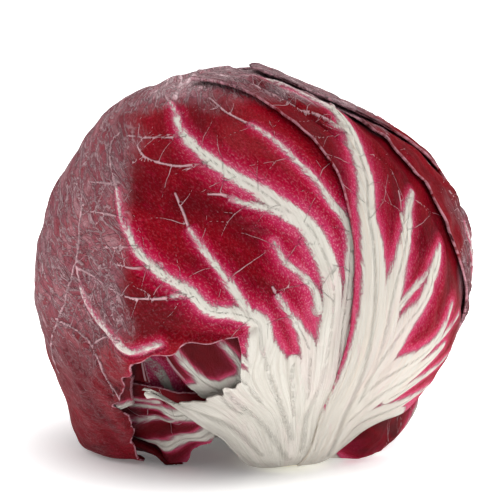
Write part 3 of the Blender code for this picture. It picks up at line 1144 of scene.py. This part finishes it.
# The outer leaves, outermost first. Each one lies over all that follow it.
OUTER_LEAVES = (
    Leaf(
        "outer_leaf_back_right",
        (
            ((156, 13), (176, 13), (198, 13), (222, 13)),
            ((152, 34), (170, 34), (190, 34), (212, 34)),
            ((138, 60), (156, 62), (180, 62), (206, 60)),
            ((102, 86), (136, 90), (170, 90), (206, 86)),
            ((76, 112), (122, 117), (170, 118), (214, 112)),
            ((50, 135), (104, 146), (180, 148), (226, 136)),
            ((16, 152), (50, 172), (240, 170), (240, 152)),
        ),
        fan_ribs(11, 0.5, 5, 9.0),
        VeinGrowth(seed=21, spacing=5.0),
        cells=(44, 44), curl=(0.3, 0.2, 0.3), seed=1,
    ),
    Leaf(
        "outer_leaf_right",
        (
            ((142, 13), (148, 13), (154, 13), (160, 13)),
            ((134, 34), (142, 34), (150, 34), (159, 34)),
            ((96, 61), (118, 56), (138, 56), (158, 58)),
            ((67, 82), (95, 84), (126, 86), (158, 86)),
            ((55, 108), (90, 112), (126, 114), (162, 112)),
            ((49, 130), (88, 138), (135, 140), (172, 134)),
            ((34, 150), (74, 166), (180, 166), (195, 150)),
        ),
        fan_ribs(12, 0.62, 5, 6.0),
        VeinGrowth(seed=22, spacing=4.5),
        cells=(60, 52), pucker=0.7, ragged=1.0, curl=(0.4, 0.2, 0.3), seed=5,
    ),
    Leaf(
        "outer_leaf_front_right",
        (
            ((16, 13), (26, 13), (35, 13), (43, 13), (51, 13)),
            ((21, 33), (32, 33), (43, 32), (54, 32), (64, 31, 1)),
            ((26, 60), (38, 60), (53, 58), (76, 53), (99, 44, 1)),
            ((28, 86), (40, 88), (55, 88), (73, 86), (96, 80)),
            ((26, 109), (40, 115, 1), (58, 115), (78, 112), (98, 110)),
            ((12, 131), (38, 138, 1), (66, 139), (90, 134), (110, 130)),
            ((-20, 150), (18, 160), (90, 162), (120, 152), (128, 142)),
        ),
        (
            Rib(((36, 20, 6), (33, 38, 7), (33, 52, 6), (33, 64, 4.6), (33, 75, 3.9), (33, 84, 3.3),
                (33, 92, 2.8), (35, 100, 2.5), (36, 109, 2.3), (38, 120, 1.9), (38, 127, 1.4),
                (32, 133, 0.9), (22, 142, 0.6), (4, 149, 0.4)), 1.7, (3.2, 1.2)),
            Rib(((36, 40, 5), (38, 59, 4.4), (39, 70, 3.4), (42, 79, 2.4), (45, 86, 1.9), (47, 92, 1.4),
                (51, 97, 0.7)), 1.0, (3.4, 1.0)),
            Rib(((43, 82, 0.8), (44, 88, 0.6), (45, 97, 0.15)), 0.3, (1.0, 0.5)),
            Rib(((33, 42, 5), (40, 54, 5), (46, 63, 3.0), (50, 67, 2.3), (53, 72, 1.9), (56, 79, 1.6),
                (58, 83, 0.7)), 0.9, (3.6, 1.6)),
            Rib(((38, 60, 1.8), (41, 66, 1.3), (46, 71, 1.0), (54, 77, 0.4)), 0.6, (1.6, 0.8)),
            Rib(((32, 38, 5), (42, 46, 5), (50, 50, 4), (57, 53, 2.8), (63, 57, 1.9), (66, 62, 1.4),
                (67, 68, 0.7)), 0.9, (3.6, 1.8)),
            Rib(((66, 58, 1.0), (71, 62, 0.8), (75, 66, 0.65)), 0.4, (2.4, 1.0)),
            Rib(((36, 32, 5), (47, 41, 5), (56, 46, 4), (64, 51, 2.6), (72, 57, 1.2)), 0.8, (3.4, 2.0)),
            Rib(((42, 25, 5), (54, 32, 4.6), (68, 37, 2.6), (80, 42, 1.2), (92, 46, 0.6)), 0.8, (3.0, 1.8)),
            Rib(((56, 40, 3), (68, 46, 1.5), (80, 52, 0.8), (88, 57, 0.5)), 0.6, (2.4, 1.4)),
            Rib(((44, 20, 4), (60, 27, 2.6), (78, 32, 1.0), (92, 36, 0.5)), 0.6, (2.4, 1.4)),
            Rib(((37, 113, 0.6), (31, 121, 0.42), (23, 128, 0.35), (10, 139, 0.3)), 0.8, (0.8, 0.5)),
            Rib(((40, 126, 0.5), (41, 134, 0.4), (34, 144, 0.35), (14, 151, 0.3)), 0.7, (0.8, 0.5)),
        ),
        VeinGrowth(seed=23, spacing=8.0, start=85),
        folds=(
            Fold(((4, 143, 0.6), (16, 138, 0.6), (21, 133, 0.6), (28, 121, 0.6), (35, 110, 0.5)), -0.9),
            Fold(((12, 143, 0.8), (22, 134, 0.8), (30, 123, 0.8), (36, 113, 0.7)), 0.7),
            Fold(((2, 149, 0.6), (17, 145, 0.6), (24, 138, 0.6), (28, 127, 0.6), (37, 118, 0.5)), -0.9),
            Fold(((20, 147, 0.6), (30, 145, 0.6), (37, 141, 0.6), (39, 131, 0.5), (41, 125, 0.5)), -0.9),
            Fold(((43, 112, 0.6), (46, 104, 0.6), (52, 100, 0.6), (56, 108, 0.5)), -0.5),
            Fold(((45, 88, 1.2), (54, 76, 1.2), (60, 66, 1.0)), -0.5),
        ),
        finish=PALE_SIDE, cells=(70, 60), foot=1.2, pucker=0.3, ragged=0.25, curl=(0.5, 0.3, 0.4),
        white_foot=(36.0, 9.0), tucks=(BUTT,), flush=(46.0, 60.0), seed=9,
    ),
    Leaf(
        "torn_flap",
        (
            ((-67, 52, 2), (-58, 52, 3), (-50, 52, 2)),
            ((-58, 57, 2), (-51, 57, 3), (-46, 56, 2)),
            ((-52, 63, 1), (-47, 62, 1), (-43, 59, 1)),
        ),
        (
            Rib(((-67, 52.5, 0.8), (-58, 52.5, 1.1), (-50, 52.5, 0.8)), 0.6, (0.8, 0.6)),
            Rib(((-52, 62, 0.3), (-54, 57, 0.3), (-57, 53, 0.4)), 0.4, (0.4, 0.4)),
        ),
        VeinGrowth(seed=31, spacing=30.0),
        cells=(16, 16), white_foot=(10.0, 5.0), stands_for=False, seed=21,
    ),
    Leaf(
        "outer_leaf_front_left",
        (
            ((-30, 13), (-21, 13), (-11, 13), (-2, 13), (15, 13), (34, 13)),
            ((-29, 33, 1), (-24, 34, 1), (-15, 33), (0, 36), (17, 36), (36, 36)),
            ((-41, 56, 3), (-34, 50, 3), (-22, 47.5, 2), (-7, 50.5, 1), (18, 60), (40, 60)),
            ((-79, 37, 8), (-60, 49, 5), (-46, 62, 2), (-4, 65, 2), (19, 72), (42, 74)),
            ((-91, 46, 15), (-82, 60, 5), (-50, 80), (-15, 90), (12, 95), (44, 98)),
            ((-107, 68, 7), (-95, 84, 3), (-68, 102), (-36, 118), (0, 122), (46, 124)),
            ((-128, 92), (-114, 114), (-98, 134), (-70, 152), (0, 164), (62, 156)),
        ),
        (
            Rib(((14, 24, 7), (14, 34, 7), (18, 45, 5.6), (20, 57, 4.0), (21, 67, 3.4), (21, 75, 3.0),
                (19, 82, 2.8), (16, 89, 2.6), (11, 94, 2.4), (5, 100, 2.1), (-1, 105, 1.8), (-7, 111, 1.5),
                (-12, 117, 1.1), (-16, 123, 0.9), (-20, 132, 0.6), (-28, 141, 0.3)), 1.9, (6.0, 0.7)),
            Rib(((24, 40, 4), (25, 52, 3), (25, 63, 2.2), (26, 70, 1.7), (27, 78, 1.45), (28, 85, 1.35),
                (27, 91, 1.2), (24, 95, 1.1), (21, 101, 1.0), (17, 107, 0.75), (14, 112, 0.65),
                (11, 116, 0.55), (6, 121, 0.45), (-1, 127, 0.3), (-7, 135, 0.2)), 1.1, (3.4, 0.7)),
            Rib(((7, 30, 8), (3, 43, 8), (1, 53, 6), (0, 61, 3.8), (0, 67, 2.4), (-5, 70, 1.7),
                (-12, 72, 1.5), (-16, 77, 1.45), (-23, 83, 1.2), (-29, 90, 0.9), (-31, 95, 0.7),
                (-33, 99, 0.6), (-34, 104, 0.5), (-35, 108, 0.45), (-37, 112, 0.35), (-41, 122, 0.25),
                (-38, 126, 0.2)), 1.7, (3.0, 0.5)),
            Rib(((-2, 69, 1.6), (-4, 74, 1.1), (-7, 80, 0.8), (-11, 87, 0.6), (-14, 93, 0.45),
                (-15, 97, 0.35), (-17, 103, 0.3)), 0.8, (1.8, 0.6)),
            Rib(((11, 93, 1.6), (7, 95, 1.1), (1, 97, 0.6), (-4, 100, 0.4),
                (-8, 101, 0.2)), 0.6, (1.6, 0.6)),
            Rib(((17, 68, 1.6), (16, 73, 1.0), (13, 77, 0.7), (9, 81, 0.65),
                (7, 86, 0.65)), 0.5, (4.5, 1.6)),
            Rib(((14, 40, 4), (14, 50, 3.6), (14, 57, 2.4), (11, 64, 1.3), (8, 69, 0.8),
                (5, 75, 0.3)), 0.6, (4.0, 1.2)),
            Rib(((8, 30, 6), (8, 42, 6), (8, 50, 4), (9, 54, 2.4)), 0.4, (2.0, 1.6)),
            Rib(((-28, 66, 0.6), (-39, 66, 0.9), (-44, 72, 0.7), (-48, 78, 0.55), (-50, 84, 0.45),
                (-50, 94, 0.4), (-48, 103, 0.3), (-50, 113, 0.2)), 0.9, (0.9, 0.5)),
            Rib(((-51, 91, 0.35), (-56, 85, 0.35), (-63, 80, 0.3), (-76, 74, 0.3),
                (-84, 68, 0.25)), 0.6, (0.6, 0.4)),
            Rib(((-66, 80, 0.25), (-58, 76, 0.3), (-52, 70, 0.35), (-52, 63, 0.35), (-52, 57, 0.35),
                (-52, 54, 0.3)), 0.7, (0.7, 0.4)),
            Rib(((-52, 70, 0.3), (-46, 71, 0.3), (-41, 69, 0.25)), 0.4, (0.5, 0.3)),
            Rib(((-50, 90, 0.3), (-44, 86, 0.25), (-38, 81, 0.25), (-32, 78, 0.2)), 0.4, (0.5, 0.3)),
            Rib(((-32, 99, 0.4), (-39, 102, 0.25), (-46, 104, 0.15)), 0.4, (0.5, 0.3)),
            Rib(((-35, 109, 0.35), (-41, 111, 0.25), (-48, 113, 0.15)), 0.4, (0.5, 0.3)),
            Rib(((-29, 91, 0.4), (-34, 92, 0.25), (-40, 93, 0.15)), 0.4, (0.5, 0.3)),
            Rib(((-14, 120, 0.4), (-21, 121, 0.3), (-28, 122, 0.3), (-35, 124, 0.2)), 0.5, (0.6, 0.3)),
            Rib(((-7, 110, 0.5), (-14, 110, 0.3), (-20, 112, 0.3), (-26, 115, 0.3),
                (-30, 120, 0.2)), 0.5, (0.6, 0.3)),
            Rib(((-16, 77, 0.7), (-23, 77, 0.4), (-30, 78, 0.25), (-37, 80, 0.2)), 0.4, (0.6, 0.4)),
            Rib(((-23, 85, 0.6), (-31, 86, 0.3), (-38, 89, 0.2)), 0.4, (0.6, 0.4)),
            Rib(((-12, 24, 6), (-19, 35, 7.5), (-26, 43, 6), (-33, 50, 4.5),
                (-41, 56, 3.5)), 0.8, (1.4, 1.0)),
            Rib(((-10, 38, 6), (-16, 46, 5), (-15, 51, 4)), 0.4, (1.6, 1.2)),
            Rib(((-4, 44, 5), (-7, 50, 4), (-9, 54, 2.6)), 0.4, (1.6, 1.2)),
            Rib(((1, 50, 2.0), (-3, 54, 1.3), (-6, 58, 1.0), (-9, 61, 0.7)), 0.6, (1.6, 1.2)),
            Rib(((6, 20, 9), (-2, 30, 9), (-8, 38, 8), (-12, 44, 6), (-14, 49, 4)), 0.6, (2.6, 1.6)),
        ),
        VeinGrowth(seed=24, spacing=11.0, length=(6.0, 15.0), start=66),
        folds=(
            Fold(((-26, 70, 1.2), (-19, 67, 1.2), (-12, 66, 1.2), (-6, 64, 1.0), (-1, 66, 0.8)), -1.0),
            Fold(((-24, 66, 1.6), (-14, 63, 1.6)), 0.8),
            Fold(((13, 86, 1.0), (5, 90, 1.0), (0, 92, 1.0), (-4, 95, 1.0)), -0.7),
            Fold(((-6, 54, 1.2), (-3, 46, 1.6), (1, 37, 1.5)), -0.6),
            Fold(((-12, 49, 1.2), (-8, 42, 1.6), (-3, 34, 1.5)), -0.5),
            Fold(((7, 57, 1.2), (8, 47, 1.6), (9, 36, 1.5)), -0.6),
            Fold(((17, 58, 1.2), (16, 48, 1.6), (14, 36, 1.5)), -0.5),
            Fold(((2, 58, 2.2), (4, 46, 2.4), (6, 36, 2.0)), 0.6),
            Fold(((-30, 46, 1.0), (-22, 40, 1.2), (-14, 35, 1.2)), -0.5),
            Fold(((-60, 76, 0.6), (-54, 70, 0.7), (-53, 63, 0.7), (-53, 57, 0.6)), -0.9),
            Fold(((-65, 74, 0.7), (-67, 70, 0.8), (-64, 66, 0.8), (-58, 60, 0.8), (-56, 56, 0.6)), -1.1),
            Fold(((-57, 53, 0.7), (-56, 49, 0.8), (-63, 43, 0.8), (-71, 39, 0.6)), -1.0),
            Fold(((-70, 62, 0.8), (-68, 56, 0.8), (-70, 50, 0.7)), -0.8),
        ),
        cells=(77, 70), pucker=0.4, ragged=1.0, curl=(0.5, 0.0, 0.3), white_foot=(24.0, 6.0),
        tear=(2, 0.58), tucks=ARCH, seed=14,
    ),
    Leaf(
        "outer_leaf_low_right",
        (
            ((46, 13, 1), (72, 13, 5), (105, 14, 4), (140, 14)),
            ((50, 24), (72, 22, 5), (100, 24, 6), (142, 28, 2)),
            ((56, 34), (84, 32, 3), (105, 36, 5), (142, 46, 1)),
            ((86, 50), (101, 46, 3), (118, 56, 2), (140, 66)),
        ),
        (
            Rib(((100, 16, 3), (104, 30, 1.6), (108, 44, 0.5)), 0.8, (2.0, 0.8)),
        ),
        VeinGrowth(seed=25, spacing=6.0, start=20),
        cells=(24, 30), white_foot=(14.0, 6.0), ragged=1.5, seed=19,
    ),
    Leaf(
        "torn_fold",
        (
            ((-54, 59, 1), (-48, 57), (-42, 55, -3)),
            ((-50, 63, 1), (-44, 62, 1), (-39, 61, -2)),
            ((-43, 67, 1), (-40, 68, 1), (-36, 69)),
        ),
        (
            Rib(((-53, 60, 0.3), (-46, 62, 0.25), (-40, 65, 0.25), (-37, 68, 0.25)), 0.5, (0.4, 0.3)),
            Rib(((-43, 56, 0.3), (-40, 61, 0.3), (-37, 67, 0.25)), 0.4, (0.4, 0.3)),
        ),
        VeinGrowth(seed=32, spacing=30.0),
        folds=(
            Fold(((-53, 61, 1.0), (-45, 63, 1.0), (-38, 67, 1.0)), 1.0),
            Fold(((-50, 58, 1.0), (-41, 65, 1.0)), -1.0),
        ),
        finish=SHADED, cells=(16, 16), white_foot=(10.0, 5.0), stands_for=False, seed=22,
    ),
    Leaf(
        "torn_scrap",
        (
            ((-77, 45, 2), (-76, 39, 1), (-75, 33), (-72, 28, -1)),
            ((-82, 46), (-80, 39), (-79, 34, -1), (-77, 28, -2)),
            ((-90, 48, -2), (-88, 41, -3), (-87, 35, -3), (-87, 28, -4)),
        ),
        (
            Rib(((-94, 38, 0.3), (-86, 38, 0.3), (-78, 33, 0.3)), 0.5, (0.4, 0.3)),
        ),
        VeinGrowth(seed=33, spacing=30.0),
        folds=(
            Fold(((-74, 37, 1.0), (-89, 38, 1.0)), 1.6),
            Fold(((-73, 32, 1.0), (-88, 32, 1.0)), 1.4),
        ),
        finish=SHADED, cells=(16, 20), white_foot=(10.0, 5.0), tucks=(Tuck(-80, 37, (9, 16), -7.0),),
        stands_for=False, seed=24,
    ),
    Leaf(
        "torn_leaf_lobe",
        (
            ((-27, 46, 1), (-17, 44, 3), (-5, 47, 1)),
            ((-30, 56, 1), (-19, 56, 3), (-4, 58, 1)),
            ((-32, 69, -1), (-20, 71), (-1, 70)),
        ),
        (
            Rib(((-18, 47, 5.0), (-22, 51, 1.8), (-24, 55, 1.3), (-26, 60, 1.1),
                (-27, 66, 0.9)), 1.0, (1.0, 0.7)),
            Rib(((-22, 47, 3.0), (-12, 48, 3.6), (-6, 51, 2.4)), 0.5, (2.0, 2.0)),
            Rib(((-10, 49, 2.0), (-8, 54, 1.1), (-10, 59, 0.8), (-12, 62, 0.5)), 0.6, (1.6, 0.8)),
            Rib(((-31, 67, 0.25), (-30, 59, 0.3), (-28, 52, 0.3)), 0.4, (0.4, 0.3)),
        ),
        VeinGrowth(seed=26, spacing=30.0, start=60),
        folds=(
            Fold(((-17, 66, 1.3), (-16, 59, 1.3), (-16, 52, 0.9)), -3.4),
            Fold(((-20, 64, 1.4), (-19, 57, 1.4), (-18, 51, 1.0)), 1.2),
            Fold(((-13, 65, 1.6), (-12, 58, 1.6)), 1.2),
            Fold(((-8, 66, 1.2), (-8, 60, 1.2), (-9, 54, 0.9)), -1.5),
            Fold(((-28, 64, 1.0), (-27, 58, 1.0), (-25, 51, 0.8)), -1.0),
        ),
        finish=SHADED, cells=(40, 40), white_foot=(54.0, 2.0), pucker=0.5, seed=23,
    ),
    Leaf(
        "torn_leaf_left",
        (
            ((-33, 13), (-25, 13), (-16, 13), (-5, 13)),
            ((-31, 30), (-28, 32), (-24, 35), (-16, 38)),
            ((-42, 29), (-41, 36), (-38, 42), (-32, 49, -1)),
            ((-59, 28), (-57, 37), (-53, 45), (-46, 55, -1)),
            ((-84, 29, 3), (-76, 38, 2), (-68, 49), (-58, 59, -1)),
            ((-96, 42, 6), (-90, 49, 4), (-80, 57, 1), (-66, 64)),
        ),
        (
            Rib(((-20, 24, 5.0), (-27, 34, 3.4), (-36, 40, 2.0), (-44, 44, 1.4), (-52, 47, 1.0),
                (-62, 50, 0.5)), 0.9, (1.4, 0.8)),
            Rib(((-24, 20, 5.0), (-32, 31, 3.4), (-46, 33, 2.4), (-62, 35, 1.9),
                (-80, 42, 1.0)), 1.0, (1.6, 0.8)),
            Rib(((-42, 42, 0.9), (-51, 42, 0.8), (-60, 44, 0.7), (-70, 48, 0.4)), 0.5, (0.9, 0.5)),
            Rib(((-46, 48, 0.8), (-56, 51, 0.6), (-64, 54, 0.4)), 0.5, (0.9, 0.5)),
        ),
        VeinGrowth(seed=27, spacing=12.0, start=40),
        folds=(
            Fold(((-50, 40, 1.4), (-60, 41, 1.4), (-72, 46, 1.2)), -0.9),
            Fold(((-30, 36, 1.2), (-42, 45, 1.2), (-52, 52, 1.0)), -0.8),
        ),
        finish=SHADED, cells=(44, 30), white_foot=(26.0, 5.0), pucker=0.5, curl=(0.2, 0.2, 0.2),
        tucks=(BUTT, Tuck(-87, 40, (10, 22), -4.5)), seed=27,
    ),
    Leaf(
        "outer_leaf_under_right", wrapped(106, 46, 150), fan_ribs(13, 0.5, 4, 8.0), VeinGrowth(seed=28),
        cells=(30, 30), white_foot=(18.0, 5.0), tucks=UNDER, seed=31,
    ),
    Leaf(
        "outer_leaf_back_left", wrapped(-128, 60, 168, 10), fan_ribs(14, 0.5, 5, 9.0),
        VeinGrowth(seed=29, spacing=5.0), cells=(44, 44), white_foot=(18.0, 5.0), tucks=UNDER, seed=35,
    ),
    Leaf(
        "outer_leaf_back", wrapped(-176, 56, 164, -14), fan_ribs(15, 0.5, 4, 8.0), VeinGrowth(seed=30),
        cells=(36, 36), white_foot=(20.0, 6.0), tucks=UNDER, seed=39,
    ),
)


def inner_leaves() -> tuple[Leaf, ...]:
    """The inner leaves, which follow the golden angle round the stem, as they grew."""
    golden_angle, count, half_width, reach = 137.5, 10, 54.0, 176.0
    return tuple(
        Leaf(
            f"inner_leaf_{n + 1:02d}", wrapped(n * golden_angle % 360 - 180, half_width, reach),
            fan_ribs(60 + n, 0.5, 3, 1.0), VeinGrowth(seed=60 + n, spacing=12.0), Slot.INNER, INSIDE,
            cells=(14, 14), foot=0.4, air=1.6, white_foot=(12.0, 4.0), tucks=UNDER, seed=80 + n,
        )
        for n in range(count)
    )


@dataclass
class Core:
    """The folded heart and the stem that all leaves grow from."""

    heart_air: float = 2.0
    heart_fold: float = 1.2  # how deep its folds are
    around: int = 160
    rings: int = 80
    stem_cone: float = 13.6  # half angle of the stem where it meets the leaf feet
    stem_rings: int = 60
    stem_end: float = 22.0  # how far from the middle of the head the stem ends

    def skin(self, slot: Slot, material: Material, polars: Array, radius: Radius, end: float) -> Thing:
        """Adds a closed skin of rings round the stem's axis.

        Args:
            slot: which piece it is, the heart or the stem.
            material: its finish.
            polars: the rings' polar angles.
            radius: says how far out it is along rays.
            end: how far out the last ring is, 0 where the rings close on the axis.

        Returns:
            The piece.
        """
        name, node = ("folded_heart", "heart") if slot is Slot.HEART else ("cut_stem", "stem")
        rays = FORM.ray(*np.meshgrid(np.arange(self.around) * 360 / self.around, polars))
        radii = radius(rays.reshape(-1, 3)).reshape(rays.shape[:-1])
        stem = FORM.axes()[0]
        first, last = stem * radius(stem[None])[0], stem * end
        if end:
            radii[-2] *= 0.8
            radii[-1] = end
        else:
            last = -stem * radius(-stem[None])[0]
        points = np.concatenate(((rays * radii[..., None]).reshape(-1, 3), first[None], last[None]))
        index = np.arange(radii.size).reshape(radii.shape)
        after = np.roll(index, -1, axis=1)
        quads = np.stack((index[:-1], after[:-1], after[1:], index[1:]), axis=-1).reshape(-1, 4)
        fans = np.concatenate((
            np.stack((np.full(self.around, radii.size), after[0], index[0]), axis=-1),
            np.stack((np.full(self.around, radii.size + 1), index[-1], after[-1]), axis=-1),
        ))
        azimuth, angle = FORM.angles(unit(points))
        grain = np.stack((azimuth / 4, angle, np.zeros(len(points))), axis=-1)
        blush = (angle - 30) / 12 if slot is Slot.HEART else np.full(len(points), -3.0)
        far = np.full(len(points), FAR)
        layers = {
            "blush": blush, "outside": blush * 4, "core": far, "vein": far, "edge": far, "bloom_and_sheen": far * 0,
            "grain": grain, "strand": grain, "vein_offset": np.stack((far, far, far), axis=-1),
        }
        made = add_mesh(name, points, [quads, fans], layers)
        declare(made, material, node)
        return made

    def build(self, above: list[CoverMap]) -> tuple[Thing, Thing]:
        """Builds the heart and the stem under all leaves.

        Args:
            above: the cover maps of all leaves.

        Returns:
            The two pieces.
        """
        folds, marks = Swell(91, 14.0), Swell(92, 9.0)

        def heart_radius(rays: Array) -> Array:
            """A ball with soft folds in the room that the leaves leave."""
            pressed = sum(cover.at(rays) * cover.pitch(rays) for cover in above)
            pressed = pressed + drawn_under(rays, UNDER) + self.heart_air
            return FORM.surface(rays) - pressed - self.heart_fold * np.abs(folds.at(rays * FORM.radius))

        def stem_radius(rays: Array) -> Array:
            """The butt: full in the middle, drawn in where it meets the leaf feet."""
            ball = FORM.surface(rays) - 0.25 * eased(FORM.angles(rays)[1], 9.0, 13.0)
            ball = ball + np.minimum(0.25 * marks.at(rays * FORM.radius), 0) - drawn_under(rays, ARCH)
            return FORM.settle(rays, ball)

        heart_rings = np.linspace(2, 178, self.rings)
        stem_rings = np.linspace(0.4, self.stem_cone, self.stem_rings)
        stem_rings = np.concatenate((stem_rings, [self.stem_cone - 0.4] * 2))
        heart = self.skin(Slot.HEART, INSIDE.material(), heart_rings, heart_radius, 0.0)
        return heart, self.skin(Slot.STEM, StemFinish().material(), stem_rings, stem_radius, self.stem_end)


@dataclass(frozen=True)
class StemFinish:
    """The butt: smooth pale flesh, with faint streaks and a few tan marks."""

    name: str = "stem flesh"
    flesh: Colour = (0.84, 0.80, 0.60, 1)
    pale: Colour = (0.86, 0.83, 0.70, 1)
    tan: Colour = (0.50, 0.22, 0.06, 1)
    roughness: float = 0.42
    relief: tuple[float, float] = (0.5, 0.0004)  # as a leaf's

    def material(self) -> Material:
        """Returns the stem's material."""
        made, bench = new_material(self.name)
        grain = bench.attribute("grain", "Vector")
        soft = bench.noise(grain, 0.5, 0.25, 4, 0.0)
        fine = bench.noise(grain, 2.2, 0.5, 3, 0.0)
        spots = bench.noise(grain, 0.9, 0.9, 2, 7.0)
        coats = ((soft.rising(0.35, 0.65), self.pale), (spots.rising(0.76, 0.84) * 0.5, self.tan))
        bench.finish("ShaderNodeBsdfPrincipled", {
            "Base Color": bench.layers(self.flesh, coats),
            "Roughness": self.roughness + fine * 0.12,
            "Normal": bench.bump(*self.relief, soft * 0.6 + fine * 0.3),
            "Specular IOR Level": 0.4,
        })
        return made


@dataclass(frozen=True)
class Studio:
    """The pale floor, the soft lights and the camera. Metres, degrees and watts."""

    floor_half: float = 8.0
    floor_colour: Colour = (0.93, 0.93, 0.93, 1)
    # dim_glow is the floor's glow near the head, where it fades round shadow_middle: the glow is painted
    # light, its fading a painted shadow over the real one
    dim_glow: Colour = (0.10, 0.10, 0.10, 1)
    shadow_middle: Place = (-0.02, 0.0, 0.0)
    shadow: Limits = (0.02, 0.09)
    elevation: float = 10.0
    frame_width: float = 0.14237  # what the frame spans at the middle of the head
    lens: float = 135.0
    sensor: float = 36.0
    shift: tuple[float, float] = (-0.01, 0.024)

    def floor(self) -> Thing:
        """Adds the floor and returns it."""
        size = self.floor_half
        mesh = bpy.data.meshes.new("floor")
        corners = [(x * size, y * size, 0) for x, y in ((-1, -1), (1, -1), (1, 1), (-1, 1))]
        mesh.from_pydata(corners, [], [(0, 1, 2, 3)])
        made = added("floor", mesh)
        material, bench = new_material("pale floor")
        place = bench.node("ShaderNodeTexCoord", {}, {}, "Object")
        ends = {0: place, 1: self.shadow_middle}
        away = bench.node("ShaderNodeVectorMath", {"operation": "DISTANCE"}, ends, 1)
        # painted light: the floor glows white away from the head, and fades round a point left of it into a
        # painted shadow
        lit = away.rising(*self.shadow)
        bench.finish("ShaderNodeBsdfPrincipled", {
            "Base Color": self.floor_colour,
            "Roughness": 0.7,
            "Specular IOR Level": 0.1,
            "Emission Color": bench.layers(self.dim_glow, ((lit, self.floor_colour),)),
            "Emission Strength": 1.0,
        })
        mesh.materials.append(material)
        return made

    def light(self, name: str, place: Place, size: tuple[float, float], watts: float) -> None:
        """Adds a soft box light that faces the head.

        Args:
            name: its name.
            place: where it stands.
            size: its width and height.
            watts: its power.
        """
        lamp = bpy.data.lights.new(name, "AREA")
        lamp.shape, lamp.size, lamp.size_y, lamp.energy = "RECTANGLE", *size, watts
        made = added(name, lamp)
        made.location = place
        made.rotation_euler = (Vector((0, 0, 0.05)) - made.location).to_track_quat("-Z", "Y").to_euler()

    def lights(self) -> None:
        """Adds the lights and the soft surroundings, brighter behind and above than in front."""
        self.light("light above", (0.1, -0.1, 0.85), (0.8, 0.5), 2.9)
        self.light("light left", (-0.85, 0.0, 0.45), (0.4, 0.7), 1.5)
        self.light("light right", (0.85, 0.0, 0.4), (0.4, 0.7), 1.8)
        self.light("light front left", (-0.6, -0.85, 0.6), (0.9, 0.9), 1.5)
        self.light("light front right", (0.6, -0.9, 0.6), (0.9, 0.9), 3.1)
        world = bpy.data.worlds.new("studio")
        bpy.context.scene.world = world
        world.use_nodes = True
        bench = Bench(world.node_tree)
        way = bench.node("ShaderNodeTexCoord", {}, {}, "Generated")
        across, height = (bench.node("ShaderNodeSeparateXYZ", {}, {"Vector": way}, axis) for axis in "YZ")
        strength = (across + height * 0.4).rising(-0.3, 0.5) * 0.75 + 0.12
        white = (1, 1, 1, 1)
        bench.finish("ShaderNodeBackground", {"Color": white, "Strength": strength}, "ShaderNodeOutputWorld")

    def camera(self) -> Thing:
        """Adds the camera and returns it."""
        rise = np.radians(self.elevation)
        back = Vector((0, -np.cos(rise), np.sin(rise)))
        camera = bpy.data.cameras.new("camera")
        camera.lens, camera.sensor_width = self.lens, self.sensor
        camera.shift_x, camera.shift_y = self.shift
        camera.clip_start = 0.01
        made = added("camera", camera)
        made.location = Vector(FORM.place(np.zeros(3))) + back * self.frame_width * self.lens / self.sensor
        made.rotation_euler = (-back).to_track_quat("-Z", "Y").to_euler()
        bpy.context.scene.camera = made
        return made


def main() -> None:
    """Builds the head and its studio."""
    logging.basicConfig(level=logging.INFO, format="%(message)s")
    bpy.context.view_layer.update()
    studio = Studio()
    studio.camera()
    studio.floor()
    studio.lights()
    above: list[CoverMap] = []
    for leaf in OUTER_LEAVES + inner_leaves():
        made = leaf.build(above)
        if leaf.stands_for:
            above.append(leaf.cover())
        LOG.info("%s: %d faces", made.name, len(made.data.polygons))
    for made in Core().build(above):
        LOG.info("%s: %d faces", made.name, len(made.data.polygons))
    bpy.context.scene.view_settings.view_transform = "Standard"
    bpy.context.view_layer.update()


if __name__ == "__main__":
    main()
